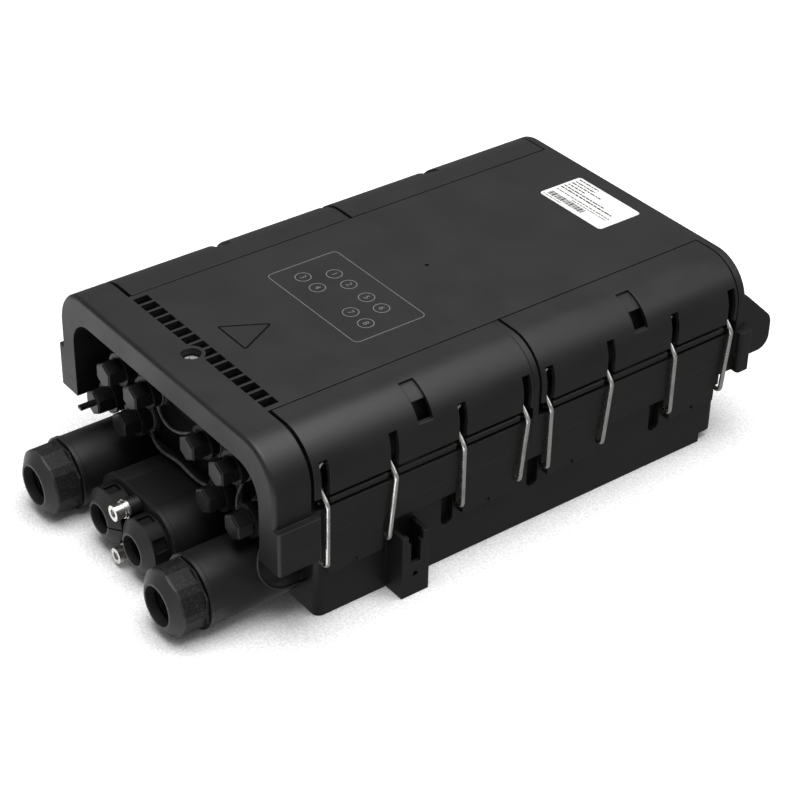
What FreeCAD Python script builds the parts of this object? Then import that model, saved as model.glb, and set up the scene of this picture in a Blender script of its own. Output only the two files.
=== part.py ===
"""Fibre distribution hub box: a moulded base and cover held by wire latches, with glands and capped ports.

Millimetres. X runs across the box, Y along it with the ports at -Y, Z up. The origin is on the base's
bottom face, midway across the box and midway between the two ends of the flange.
"""
import FreeCAD, Part
import math
import operator
import os
from types import SimpleNamespace

import Sketcher

SIZE_TABLE = [
    # Base tub
    ("split_height", 63.0, "base rim above the bottom face"),
    ("base_width", 216.0, "tub across its side walls"),
    ("base_front", 147.0, "origin to the tub's front wall"),
    ("base_rear", 165.0, "origin to the tub's rear wall"),
    ("base_wall", 4.0, "tub wall thickness"),
    ("base_floor", 3.5, "tub floor thickness"),
    ("base_corner", 5.0, "tub's upright corner radius"),
    ("step_height", 6.3, "height of the step under the rear wall"),
    ("step_depth", 11.4, "depth of the step under the rear wall"),
    # Flange and its corner blocks
    ("flange_side", 5.8, "flange proud of the tub's side wall"),
    ("front_overhang", 8.0, "flange before the tub's front wall"),
    ("rear_overhang", 15.0, "flange behind the tub's rear wall"),
    ("flange_drop", 10.7, "flange of the base, below the split"),
    ("flange_rise", 18.3, "flange of the cover, above the split"),
    ("block_side", 5.7, "corner block proud of the flange"),
    ("block_front", 29.0, "length of a front corner block"),
    ("block_rear", 10.0, "length of a rear corner block"),
    ("block_round", 2.0, "outer upright edges of the blocks"),
    # Cover
    ("box_height", 128.4, "top of the cover above the bottom face"),
    ("cover_side", 1.2, "hood and levers proud of the flange"),
    ("cover_corner", 28.0, "radius of the cover's long top edges"),
    ("lever_straight", 2.0, "least upright part of a lever below that radius"),
    ("cover_wall", 3.8, "cover wall and top plate"),
    ("cover_overhang", 9.0, "cover's rear wall behind the tub's"),
    ("dome_inset", 12.0, "cover under the levers, inside their faces"),
    ("dome_corner", 18.0, "radius of the cover under the levers"),
    ("seam_gap", 1.0, "gap round a closed lever"),
    ("hood_gap", 2.4, "gap between the hood and a front lever"),
    ("rib_inset", 1.0, "rib between two levers, below their surface"),
    # Hood over the ports
    ("hood_depth", 25.0, "hood before the flange's front face"),
    ("hood_edge", 3.0, "round on the hood's front edge"),
    ("hood_wall", 3.5, "front wall of the hood's roof"),
    ("arch_inset", 13.8, "opening under the hood, inside the flange's sides"),
    ("hood_roof", 17.7, "hood's roof over the opening"),
    ("arch_corner", 20.0, "upper corner radius of the opening"),
    ("vent_count", 16.0, "air slots in the hood's roof"),
    ("vent_pitch", 8.8, "spacing of the air slots"),
    ("vent_width", 7.0, "air slot across the box"),
    ("vent_length", 10.0, "air slot along the box"),
    ("vent_setback", 5.2, "middle of the air slots behind the flange's front face"),
    ("plenum_inset", 14.0, "hollow under the air slots, inside the opening's sides"),
    ("plenum_lining", 3.3, "floor of that hollow"),
    ("screw_reach", 3.0, "cover screw before the flange's front face"),
    ("screw_recess", 6.0, "radius of the cover screw's recess"),
    ("recess_depth", 7.5, "depth of the cover screw's recess"),
    ("screw_boss", 8.4, "radius of the cover screw's boss"),
    ("cover_screw_shank", 2.5, "shank radius of the cover screw"),
    ("cover_screw_head", 5.2, "head radius of the cover screw"),
    ("cover_screw_head_height", 2.6, "head height of the cover screw"),
    ("cover_screw_tip", 2.7, "tip of the cover screw above its boss's underside"),
    ("cross_length", 2.9, "arm of the cover screw's cross recess"),
    ("cross_width", 1.3, "width of that recess"),
    ("cross_depth", 1.4, "depth of that recess"),
    ("dimple_place", 12.3, "origin to the moulding gate's dimple"),
    ("dimple_size", 1.4, "radius and depth of that dimple"),
    # Rear lugs of the cover
    ("lug_inset", 0.8, "rear lug inside the flange's side"),
    ("lug_width", 22.0, "rear lug across the box"),
    ("lug_length", 28.5, "rear lug behind the cover's rear wall"),
    ("lug_rise", 3.0, "underside of a rear lug above the split"),
    ("lug_drop", 24.4, "top of a rear lug below the cover's top"),
    ("lug_nose_height", 14.0, "height of a rear lug's nose"),
    ("lug_nose_round", 12.0, "rounded upper edge of a rear lug's nose"),
    ("lug_round", 9.0, "rounded lower edge of a rear lug's nose"),
    ("lug_hook_gap", 2.0, "hook of a rear lug behind the flange's rear face"),
    ("lug_hook_drop", 5.5, "hook of a rear lug below the split"),
    ("lug_hook_round", 5.0, "rounded front edge of that hook"),
    # Latch levers
    ("lever_span", 41.3, "lever's face to its upper seam"),
    ("lever_wall", 3.0, "lever thickness"),
    ("lever_margin", 2.2, "front lever behind the flange's front face"),
    ("lever_one_end", 3.5, "origin back to the front lever's rear end"),
    ("lever_two_start", 9.7, "origin back to the rear lever's front end"),
    ("rear_strip", 6.0, "rear lever before the cover's rear wall"),
    ("lever_float", 0.8, "room between a lever and the cover below it"),
    ("hinge_radius", 2.3, "hinge barrel radius"),
    ("hinge_inset", 2.3, "hinge axis inside the flange's side"),
    ("hinge_float", 1.1, "hinge barrel above the cover flange"),
    ("hinge_gap", 3.6, "lever edge above a hinge barrel"),
    ("web_inset", 4.5, "hinge web inside a lever's face"),
    ("web_wall", 4.0, "hinge web's thickness"),
    ("web_lap", 3.0, "hinge web above a lever's lower edge"),
    ("rod_radius", 1.2, "hinge rod radius"),
    ("rod_margin", 4.0, "hinge rod short of a lever's end"),
    ("running_gap", 0.06, "radial room of a turning fit"),
    ("fixed_gap", 0.02, "radial room of a fixed fit"),
    ("leg_slot", 6.0, "slot for a bail's leg"),
    ("leg_slot_rise", 5.0, "upper end of the leg slots above the cross bar"),
    ("barrel_gap", 0.8, "hinge barrel short of a leg slot"),
    ("notch_width", 10.5, "finger notch of a lever"),
    ("notch_span", 22.5, "lever's face to the notch's upper end"),
    ("notch_drop", 17.5, "lower end of the notch below the cover's top"),
    ("notch_hole_drop", 8.0, "top of the notch's open part below the cover's top"),
    ("notch_depth", 1.8, "depth of the notch's closed part"),
    # Wire bails
    ("wire_radius", 1.5, "bail wire radius"),
    ("bail_width", 47.5, "bail between its legs"),
    ("bail_lean", 4.2, "rear leg's foot, forward of its top"),
    ("bail_one_margin", 7.6, "first bail's front leg behind the front lever's front end"),
    ("bail_rear_margin", 4.8, "rear legs of the second and fourth bails before their lever's end"),
    ("bail_three_margin", 6.8, "third bail's front leg behind the rear lever's front end"),
    ("bar_inset", 4.0, "bail's cross bar inside the hinge axis"),
    ("bar_drop", 20.4, "cross bar below the cover's top"),
    ("leg_float", 1.2, "room between a leg and the flange's side"),
    ("knee_rise", 3.3, "bend of a leg above the cover's flange"),
    ("slant_rise", 10.0, "slant of a leg above that bend"),
    ("hook_drop", 21.0, "hook below the split"),
    ("hook_length", 7.0, "hook inward of its leg"),
    ("wire_bend", 3.0, "bend radius of the wire at hooks and corners"),
    ("knee_bend", 6.0, "bend radius of the wire at its knees"),
    ("hook_float", 0.8, "hook below its keeper"),
    ("bar_lug", 4.0, "thickness of a lug that carries a cross bar"),
    ("bar_lug_wall", 1.6, "that lug round the cross bar"),
    ("bar_lug_inset", 9.0, "lug inward of a bail's leg"),
    # Side pads, keepers and recesses of the base
    ("pad_drop", 28.6, "pads below the split"),
    ("pad_gap", 1.1, "room between a pad and a hook"),
    ("pad_notch", 3.0, "small notch in a pad's lower edge"),
    ("keeper_width", 3.6, "keeper over a hook"),
    ("keeper_depth", 4.8, "keeper proud of the tub wall"),
    ("recess_offset", 4.5, "side recess forward of a leg"),
    ("recess_width", 8.6, "side recess along the box"),
    ("recess_drop", 37.0, "lowest point of a side recess below the split"),
    ("recess_inset", 6.0, "depth of a side recess"),
    ("recess_wall", 2.5, "wall round a side recess"),
    # Side brackets of the base
    ("bracket_gap", 4.4, "bracket behind the first bail's rear foot"),
    ("bracket_length", 19.5, "bracket along the box"),
    ("bracket_depth", 15.4, "bracket proud of the tub's side wall"),
    ("bracket_height", 43.5, "bracket height"),
    ("bracket_wall", 3.0, "bracket wall"),
    ("bracket_slot", 7.0, "slot in a bracket's face"),
    ("bracket_slot_floor", 23.0, "lower end of that slot"),
    ("bracket_mouth", 10.6, "slot's wider mouth"),
    ("bracket_mouth_floor", 38.0, "lower end of the wider mouth"),
    ("bracket_hole", 1.85, "radius of a bracket's screw hole"),
    ("bracket_hole_height", 15.0, "screw hole above the bottom face"),
    # Cable entries
    ("gland_height", 23.3, "entry axes above the bottom face"),
    ("gland_reach", 70.0, "middle of the box to a round entry"),
    ("gland_radius", 22.5, "outer radius of the entry tubes"),
    ("gland_bore", 17.5, "bore radius of a round entry"),
    ("gland_length", 61.0, "round entry before the tub's front wall"),
    ("rim_rise", 0.6, "rim proud of a tube"),
    ("rim_length", 3.0, "rim along a tube"),
    ("spigot_radius", 17.0, "threaded spigot radius"),
    ("spigot_bore", 14.0, "spigot bore radius"),
    ("spigot_length", 14.5, "spigot beyond the tube"),
    ("nut_flats", 42.0, "gland nut across its flats"),
    ("nut_room", 1.0, "gland nut's lip before the spigot"),
    ("nut_lip", 6.5, "lip at the front of a gland nut"),
    ("nut_hole", 12.5, "hole radius in a gland nut's lip"),
    ("nut_nose", 14.0, "radius of a gland nut's front face"),
    ("nut_taper", 6.0, "length of a gland nut's tapered nose"),
    ("nut_sides", 8.0, "flats of a gland nut"),
    ("nut_gap", 0.8, "gland nut clear of the tube's rim"),
    ("grip_depth", 0.6, "depth of the grip panel in each flat"),
    ("grip_width", 12.0, "width of that panel"),
    ("grip_margin", 1.5, "that panel short of the nut's rear face"),
    ("seal_hole", 11.5, "hole radius of a gland seal"),
    ("seal_length", 11.0, "length of a gland seal"),
    ("collar_gap", 0.7, "collar from the middle of the box"),
    ("oval_length", 52.0, "oval entry before the tub's front wall"),
    ("saddle_width", 37.4, "saddle between the lobes"),
    ("saddle_height", 44.4, "saddle height"),
    ("collar_radius", 18.0, "split collar radius"),
    ("collar_bore", 9.5, "split collar bore radius"),
    ("collar_proud", 16.0, "collar before the oval entry's end"),
    ("collar_depth", 15.0, "collar seated in the oval entry"),
    ("collar_nose", 11.0, "radius of a collar's front face"),
    ("collar_taper", 5.0, "length of a collar's tapered nose"),
    ("collar_ledge", 1.8, "step that the collars seat on"),
    ("pocket_width", 8.0, "side pocket of a collar"),
    ("pocket_length", 8.5, "side pocket along a collar"),
    ("pocket_depth", 2.6, "depth of a collar's side pocket"),
    ("pocket_count", 6.0, "side pockets of a collar"),
    ("pocket_margin", 1.0, "side pocket behind a collar's taper"),
    ("slit_width", 1.0, "slit that opens a collar"),
    # Clamp screws of the oval entry
    ("clamp_inset", 2.3, "clamp screws inside the collars' height"),
    ("clamp_boss", 5.8, "radius of a clamp screw's boss"),
    ("clamp_boss_proud", 7.5, "clamp bosses before the oval entry's end"),
    ("clamp_shank", 2.95, "clamp screw shank radius"),
    ("clamp_gap", 0.05, "radial room of a clamp screw"),
    ("clamp_length", 14.0, "clamp screw below its head"),
    ("clamp_head", 5.0, "clamp screw head radius"),
    ("clamp_head_height", 6.0, "clamp screw head height"),
    ("socket_flats", 5.0, "hexagon socket of a clamp screw"),
    ("socket_depth", 3.0, "depth of that socket"),
    ("washer_gap", 0.25, "radial room of a washer"),
    ("flat_washer", 6.0, "flat washer radius"),
    ("flat_washer_height", 1.5, "flat washer thickness"),
    ("spring_washer", 5.4, "spring washer radius"),
    ("spring_washer_height", 1.6, "spring washer thickness"),
    ("spring_split", 1.2, "gap in a spring washer"),
    # Port panel, adapters and caps
    ("panel_wall", 3.0, "port panel thickness"),
    ("panel_side", 2.0, "port panel inside the hood's opening"),
    ("panel_rise", 1.2, "lower edge of the port panel above the entry tubes"),
    ("panel_gap", 0.5, "port panel below the hood's arch"),
    ("ledge_depth", 3.0, "ledge under the panel, before its face"),
    ("ledge_height", 3.0, "thickness of that ledge"),
    ("window_inset", 11.0, "window behind the panel, inside the hood's opening"),
    ("window_sill", 2.0, "lower edge of that window above the panel's edge"),
    ("window_drop", 6.7, "upper edge of that window below the hood's opening"),
    ("bulkhead", 3.0, "cover wall behind the panel"),
    ("panel_boss", 6.0, "radius of the panel's boss for the cover screw"),
    ("panel_boss_length", 16.0, "length of that boss"),
    ("row_pitch", 28.0, "upper row of ports above the lower row"),
    ("row_rise", 15.7, "lower row of ports above the entry tubes"),
    ("port_room", 0.5, "least room between a port and the hood"),
    ("port_side", 13.0, "window's side to the farther lower port"),
    ("port_pitch", 30.0, "between the two ports of a row, on each side"),
    ("row_shift", 15.0, "upper ports set in from the lower ones"),
    ("neck_radius", 8.0, "adapter neck radius"),
    ("neck_length", 13.5, "adapter before the panel's face"),
    ("adapter_depth", 15.0, "adapter behind the panel"),
    ("adapter_flange", 11.5, "adapter flange radius"),
    ("adapter_flange_height", 2.5, "adapter flange thickness"),
    ("socket_radius", 5.5, "adapter socket radius"),
    ("web_setback", 2.0, "web between an adapter's sockets, behind the panel"),
    ("web_half", 1.0, "half that web's thickness"),
    ("sleeve_radius", 1.25, "hole in that web"),
    ("port_seal_height", 0.8, "seal under an adapter flange"),
    ("port_seal_inset", 0.5, "seal inside the flange's edge"),
    ("adapter_nut_flats", 20.0, "adapter nut across its flats"),
    ("adapter_nut_height", 4.0, "adapter nut thickness"),
    ("cap_skirt", 10.0, "cap skirt radius"),
    ("cap_skirt_length", 5.1, "cap over an adapter's neck"),
    ("cap_collar", 10.6, "radius of a cap's collar"),
    ("cap_collar_height", 2.5, "thickness of a cap's collar"),
    ("cap_flats", 14.5, "cap hexagon across its flats"),
    ("cap_length", 11.5, "cap before an adapter's front end"),
    ("cap_chamfer", 1.0, "chamfer on a cap's face"),
    ("tab_radius", 2.0, "pull tab on one cap"),
    ("tab_length", 9.0, "length of that tab"),
    # Straps between the ports
    ("strap_radius", 1.05, "strap radius"),
    ("ring_outer", 10.4, "outer radius of a strap's ring"),
    ("ring_height", 2.2, "thickness of a strap's ring"),
    ("ring_gap", 0.2, "room beside a ring"),
    ("loop_radius", 0.9, "radius of the loop beside the hood"),
    # Rim seal, label and inner fittings
    ("seal_inset", 1.5, "rim seal inside the tub's side faces"),
    ("seal_width", 3.0, "rim seal width"),
    ("seal_height", 2.0, "rim seal height"),
    ("seal_margin", 5.0, "rim seal's ends behind the flange's front face"),
    ("seal_overhang", 7.5, "rim seal's outer edge behind the tub's rear wall"),
    ("label_left", 30.0, "middle of the box to the label's left edge"),
    ("label_right", 29.0, "middle of the box to the label's right edge"),
    ("label_start", 127.4, "origin back to the label's front edge"),
    ("label_end", 162.3, "origin back to the label's rear edge"),
    ("label_height", 0.2, "label thickness"),
    ("label_round", 2.5, "corner radius of the label"),
    ("tray_width", 128.0, "splice tray width"),
    ("tray_front", 98.0, "origin forward to a tray's front end"),
    ("tray_rear", 80.0, "origin back to a tray's rear end"),
    ("tray_height", 11.8, "splice tray height"),
    ("tray_gap", 0.2, "room between the two trays"),
    ("tray_level", 30.0, "underside of the lower tray"),
    ("tray_wall", 2.0, "splice tray wall"),
    ("tray_bar", 16.0, "solid bar at a tray's hinge end"),
    ("pin_radius", 2.0, "tray pin radius"),
    ("pin_setback", 8.0, "tray pins behind the trays' front end"),
    ("ear_wall", 4.0, "tray bracket's ears"),
    ("ear_gap", 0.5, "room beside a tray"),
    ("ear_length", 20.0, "tray bracket's ears along the box"),
    ("bracket_plate", 3.0, "tray bracket's plate"),
    ("post_length", 8.0, "tray bracket's rear posts along the box"),
    ("post_width", 12.0, "tray bracket's rear posts across the box"),
    ("splitter_width", 120.0, "splitter module width"),
    ("splitter_gap", 5.0, "splitter behind the trays"),
    ("splitter_setback", 17.0, "splitter before the tub's rear wall"),
    ("splitter_height", 12.0, "splitter module height"),
    ("overlap", 1.0, "sinking of one moulded form into the next"),
    ("past", 2.0, "cutters beyond the face that they cut"),
]

SIDES = {"right": 1, "left": -1}
ORIGIN = (-1, 1)
ALONG = {
    "X": FreeCAD.Rotation(FreeCAD.Vector(0, 1, 0), 90),
    "Y": FreeCAD.Rotation(FreeCAD.Vector(1, 0, 0), -90),
    "Z": FreeCAD.Rotation(),
}
DRAWN_ON = {
    "X": FreeCAD.Rotation(FreeCAD.Vector(1, 1, 1), 120),
    "Y": FreeCAD.Rotation(FreeCAD.Vector(1, 0, 0), 90),
    "Z": FreeCAD.Rotation(),
}
DIRECTION = {
    "X": FreeCAD.Vector(1, 0, 0),
    "Y": FreeCAD.Vector(0, 1, 0),
    "Z": FreeCAD.Vector(0, 0, 1),
}
OPERATIONS = {"+": operator.add, "-": operator.sub, "*": operator.mul, "/": operator.truediv}
BEND_SHARE = 0.45
TOLERANCE = 1e-6
TAB_PORT = 3


class Size:
    """A number together with the sheet expression that gives it."""

    def __init__(self, text, value):
        self.text = text
        self.value = value

    def __add__(self, other):
        return combine(self, "+", other)

    def __radd__(self, other):
        return combine(other, "+", self)

    def __sub__(self, other):
        return combine(self, "-", other)

    def __rsub__(self, other):
        return combine(other, "-", self)

    def __mul__(self, other):
        return combine(self, "*", other)

    def __rmul__(self, other):
        return combine(other, "*", self)

    def __truediv__(self, other):
        return combine(self, "/", other)

    def __neg__(self):
        return combine(0, "-", self)


def as_size(number):
    if isinstance(number, Size):
        return number
    return Size(f"({float(number)})", float(number))


def combine(left, sign, right):
    left = as_size(left)
    right = as_size(right)
    return Size(f"({left.text} {sign} {right.text})", OPERATIONS[sign](left.value, right.value))


def make_sheet(document):
    """Write the driving sizes to a sheet and return them by name."""
    sheet = document.addObject("Spreadsheet::Sheet", "Sizes")
    named = {}
    for row, (alias, value, meaning) in enumerate(SIZE_TABLE, start=1):
        sheet.set(f"A{row}", meaning)
        sheet.set(f"B{row}", str(value))
        sheet.setAlias(f"B{row}", alias)
        named[alias] = Size(f"Sizes.{alias}", value)
    document.recompute()
    return SimpleNamespace(**named)


def smaller(one, other):
    one = as_size(one)
    other = as_size(other)
    return Size(f"min({one.text}; {other.text})", min(one.value, other.value))


def larger(one, other):
    one = as_size(one)
    other = as_size(other)
    return Size(f"max({one.text}; {other.text})", max(one.value, other.value))


def add_widths(s):
    """Places across the box that follow the tub's width."""
    s.flange_width = s.base_width + 2 * s.flange_side
    s.block_width = s.flange_width + 2 * s.block_side
    s.cover_width = s.flange_width + 2 * s.cover_side
    s.dome_width = s.cover_width - 2 * s.dome_inset
    s.arch_width = s.flange_width - 2 * s.arch_inset
    s.plenum_width = s.arch_width - 2 * s.plenum_inset
    s.panel_width = s.arch_width - 2 * s.panel_side
    s.window_half = s.arch_width / 2 - s.window_inset
    s.lower_far = s.window_half - s.port_side
    s.lower_near = s.lower_far - s.port_pitch
    s.upper_far = s.lower_far - s.row_shift
    s.upper_near = s.upper_far - s.port_pitch
    s.lug_outer = s.flange_width / 2 - s.lug_inset
    s.lug_inner = s.lug_outer - s.lug_width
    s.lever_seam = s.cover_width / 2 - s.lever_span
    s.notch_start = s.cover_width / 2 - s.notch_span
    s.hinge_reach = s.flange_width / 2 - s.hinge_inset
    s.bar_reach = s.hinge_reach - s.bar_inset
    s.bracket_reach = s.base_width / 2 + s.bracket_depth
    s.seal_reach = s.base_width / 2 - s.seal_inset
    s.lobe_reach = s.collar_radius + s.collar_gap


def add_lengths(s):
    """Places along the box that follow the tub's front and rear walls."""
    s.flange_front = s.base_front + s.front_overhang
    s.flange_rear = s.base_rear + s.rear_overhang
    s.cover_end = s.base_rear + s.cover_overhang
    s.lug_end = s.cover_end + s.lug_length
    s.seal_front = s.flange_front - s.seal_margin
    s.seal_rear = s.base_rear + s.seal_overhang
    s.hood_front = s.flange_front + s.hood_depth
    s.vent_place = s.flange_front - s.vent_setback
    s.screw_place = s.flange_front + s.screw_reach
    s.panel_face = s.flange_front + s.panel_wall
    s.ledge_front = s.panel_face + s.ledge_depth
    s.lever_one_start = s.flange_front - s.lever_margin
    s.lever_two_end = s.cover_end - s.rear_strip
    s.bail_one = s.bail_one_margin - s.lever_one_start
    s.bail_two = s.lever_one_end - s.bail_rear_margin - s.bail_width
    s.bail_three = s.lever_two_start + s.bail_three_margin
    s.bail_four = s.lever_two_end - s.bail_rear_margin - s.bail_width
    first_foot = s.bail_one + s.bail_width - s.bail_lean
    s.bracket_middle = first_foot + s.bracket_gap + s.bracket_length / 2
    s.gland_end = s.base_front + s.gland_length
    s.nut_end = s.gland_end + s.spigot_length + s.nut_room + s.nut_lip
    s.oval_end = s.base_front + s.oval_length
    s.collar_end = s.oval_end + s.collar_proud
    s.clamp_boss_end = s.oval_end + s.clamp_boss_proud
    s.neck_end = s.panel_face + s.neck_length
    s.cap_skirt_end = s.neck_end - s.cap_skirt_length
    s.cap_end = s.neck_end + s.cap_length
    s.adapter_back = s.flange_front - s.adapter_depth
    s.web_place = s.flange_front - s.web_setback
    s.pin_place = s.tray_front - s.pin_setback
    s.splitter_front = s.tray_rear + s.splitter_gap
    s.splitter_rear = s.base_rear - s.splitter_setback


def add_heights(s):
    """Heights that follow the split, the cover's top and the cable entries."""
    s.knee_height = s.split_height + s.flange_rise + s.knee_rise
    s.hook_height = s.split_height - s.hook_drop
    s.recess_bottom = s.split_height - s.recess_drop
    s.lug_bottom = s.split_height + s.lug_rise
    s.lug_nose = s.lug_bottom + s.lug_nose_height
    s.lug_top = s.box_height - s.lug_drop
    s.bar_height = s.box_height - s.bar_drop
    s.leg_slot_top = s.bar_height + s.leg_slot_rise
    s.notch_bottom = s.box_height - s.notch_drop
    s.notch_hole = s.box_height - s.notch_hole_drop
    tubes_top = s.gland_height + s.gland_radius
    s.panel_bottom = tubes_top + s.panel_rise
    s.window_floor = s.panel_bottom + s.window_sill
    s.lower_row = tubes_top + s.row_rise
    s.upper_row = s.lower_row + s.row_pitch
    port_top = s.upper_row + s.cap_flats / math.sqrt(3) + s.port_room
    s.arch_top = larger(s.box_height - s.hood_roof, port_top)
    s.plenum_floor = s.arch_top + s.plenum_lining
    nut_top = s.upper_row + s.adapter_nut_flats / math.sqrt(3) + s.port_room
    s.window_top = larger(s.arch_top - s.window_drop, nut_top)
    s.clamp_offset = s.collar_radius - s.clamp_inset
    s.clamp_hole = s.clamp_shank + s.clamp_gap
    s.washer_hole = s.clamp_shank + s.washer_gap
    s.tray_pitch = s.tray_height + s.tray_gap


doc = FreeCAD.newDocument("fibre_hub_box")
s = make_sheet(doc)
add_widths(s)
add_lengths(s)
add_heights(s)
nodes = {}


def bind(item, prop, size):
    item.setExpression(prop, as_size(size).text)


def place(item, x, y, z, rotation=None):
    """Turn an object and bind its place to the sheet."""
    item.Placement = FreeCAD.Placement(FreeCAD.Vector(), rotation or FreeCAD.Rotation())
    for axis, size in zip("xyz", (x, y, z)):
        bind(item, f"Placement.Base.{axis}", size)


def ordered(pair):
    low, high = (as_size(end) for end in pair)
    return (low, high) if low.value <= high.value else (high, low)


def box(name, x, y, z):
    """A block between two bounds along each axis."""
    item = doc.addObject("Part::Box", name)
    low = []
    for prop, pair in zip(("Length", "Width", "Height"), (x, y, z)):
        start, end = ordered(pair)
        bind(item, prop, end - start)
        low.append(start)
    place(item, *low)
    return item


def cylinder(name, axis, radius, start, length):
    """A round bar from a start point along an axis."""
    item = doc.addObject("Part::Cylinder", name)
    bind(item, "Radius", radius)
    bind(item, "Height", length)
    place(item, *start, ALONG[axis])
    return item


def fuse(name, parts):
    item = doc.addObject("Part::MultiFuse", name)
    item.Shapes = parts
    return item


def cut(name, base, tools):
    item = doc.addObject("Part::Cut", name)
    item.Base = base
    item.Tool = tools[0] if len(tools) == 1 else fuse(f"{name}_tools", tools)
    return item


def common(name, parts):
    item = doc.addObject("Part::MultiCommon", name)
    item.Shapes = parts
    return item


def fillet(name, base, radius, pick):
    """Round the edges that pick names."""
    doc.recompute()
    item = doc.addObject("Part::Fillet", name)
    item.Base = base
    chosen = [index for index, edge in enumerate(base.Shape.Edges, start=1) if pick(edge)]
    item.Edges = [(index, radius.value, radius.value) for index in chosen]
    return item


def node(name, item):
    item.Label = name
    nodes[name] = item
    return item


def step_towards(corner, other):
    """Unit step along an axis from one corner of an outline to the next."""
    across = as_size(other[0]).value - as_size(corner[0]).value
    along = as_size(other[1]).value - as_size(corner[1]).value
    if abs(across) > abs(along):
        return (math.copysign(1, across), 0)
    return (0, math.copysign(1, along))


def outline_points(corners):
    """Points of an outline, each with the centre of the arc that starts there, if one does."""
    points = []
    for index, corner in enumerate(corners):
        x = as_size(corner[0])
        y = as_size(corner[1])
        if len(corner) == 2:
            points.append((x, y, None))
            continue
        radius = corner[2]
        back = step_towards(corner, corners[index - 1])
        ahead = step_towards(corner, corners[(index + 1) % len(corners)])
        start = (x + radius * back[0], y + radius * back[1])
        centre = (start[0] + radius * ahead[0], start[1] + radius * ahead[1])
        points.append((*start, centre))
        points.append((x + radius * ahead[0], y + radius * ahead[1], None))
    return points


def draw(sketch, corners):
    """Draw a closed outline bound to the sheet.

    A corner is (x, y), or (x, y, radius) between square edges.
    """
    points = outline_points(corners)
    edges = []
    for index, (x, y, centre) in enumerate(points):
        end = points[(index + 1) % len(points)]
        here = FreeCAD.Vector(x.value, y.value, 0)
        there = FreeCAD.Vector(end[0].value, end[1].value, 0)
        if centre is None:
            edges.append((sketch.addGeometry(Part.LineSegment(here, there)), 1, 2))
            continue
        middle = FreeCAD.Vector(centre[0].value, centre[1].value, 0)
        first = math.atan2(here.y - middle.y, here.x - middle.x)
        last = math.atan2(there.y - middle.y, there.x - middle.x)
        turns_left = (last - first) % (2 * math.pi) < math.pi
        circle = Part.Circle(middle, FreeCAD.Vector(0, 0, 1), (here - middle).Length)
        ends = (first, last) if turns_left else (last, first)
        geometry = sketch.addGeometry(Part.ArcOfCircle(circle, *ends))
        edges.append((geometry, 1, 2) if turns_left else (geometry, 2, 1))
    for index, (geometry, start, end) in enumerate(edges):
        following = edges[(index + 1) % len(edges)]
        sketch.addConstraint(Sketcher.Constraint("Coincident", geometry, end, following[0], following[1]))
        x, y, centre = points[index]
        fix(sketch, "DistanceX", geometry, start, x)
        fix(sketch, "DistanceY", geometry, start, y)
        if centre is not None:
            fix(sketch, "DistanceX", geometry, 3, centre[0])


def fix(sketch, kind, geometry, point, size):
    """Hold a sketch point at a distance from the sketch's origin."""
    constraint = Sketcher.Constraint(kind, *ORIGIN, geometry, point, size.value)
    index = sketch.addConstraint(constraint)
    bind(sketch, f"Constraints[{index}]", size)


def prism(name, axis, corners, start, end):
    """An outline drawn across an axis and drawn out along it."""
    start = as_size(start)
    sketch = doc.addObject("Sketcher::SketchObject", f"{name}_outline")
    draw(sketch, corners)
    offset = [start if axis == letter else as_size(0) for letter in "XYZ"]
    place(sketch, *offset, DRAWN_ON[axis])
    item = doc.addObject("Part::Extrusion", name)
    item.Base = sketch
    item.DirMode = "Custom"
    item.Dir = DIRECTION[axis]
    item.Solid = True
    bind(item, "LengthFwd", as_size(end) - start)
    return item


def origin_plane(body, role):
    return next(plane for plane in body.Origin.OriginFeatures if plane.Role == role)


def body_sketch(body, role, corners, offset=0):
    """A sketch on one of a body's own planes, moved along the plane's normal."""
    sketch = body.newObject("Sketcher::SketchObject", f"{body.Name}_sketch")
    sketch.AttachmentSupport = [(origin_plane(body, role), "")]
    sketch.MapMode = "FlatFace"
    bind(sketch, "AttachmentOffset.Base.z", offset)
    draw(sketch, corners)
    return sketch


def turned_body(name, profile):
    """A body turned about its own Y axis from a profile of (radius, y) corners."""
    body = doc.addObject("PartDesign::Body", name)
    sketch = body_sketch(body, "XY_Plane", profile)
    turned = body.newObject("PartDesign::Revolution", f"{name}_turned")
    turned.Profile = sketch
    turned.ReferenceAxis = (sketch, ["V_Axis"])
    turned.Angle = 360
    return body


def padded_body(name, role, corners, offset, length):
    """A body padded from one outline on one of its planes."""
    body = doc.addObject("PartDesign::Body", name)
    pad_onto(body, role, corners, offset, length)
    return body


def pad_onto(body, role, corners, offset, length):
    pad = body.newObject("PartDesign::Pad", f"{body.Name}_pad")
    pad.Profile = body_sketch(body, role, corners, offset)
    bind(pad, "Length", length)
    return pad


def hexagon(flats):
    """Corners of a hexagon with two flats upright."""
    half = flats / 2
    corner = flats / math.sqrt(3)
    return [(0, -corner), (half, -corner / 2), (half, corner / 2),
            (0, corner), (-half, corner / 2), (-half, -corner / 2)]


def bent_path(points, bends):
    """Straight runs joined by tangent arcs, one bend radius for each inner point."""
    spots = [FreeCAD.Vector(*point) for point in points]
    edges = []
    here = spots[0]
    for before, corner, after, bend in zip(spots, spots[1:], spots[2:], bends):
        back = (before - corner).normalize()
        ahead = (after - corner).normalize()
        half_turn = (math.pi - back.getAngle(ahead)) / 2
        reach = bend * math.tan(half_turn)
        start = corner + back * reach
        end = corner + ahead * reach
        towards_centre = (back + ahead).normalize()
        middle = corner + towards_centre * (bend / math.cos(half_turn) - bend)
        edges.append(Part.LineSegment(here, start).toShape())
        edges.append(Part.Arc(start, middle, end).toShape())
        here = end
    edges.append(Part.LineSegment(here, spots[-1]).toShape())
    return Part.Wire(edges)


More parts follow.
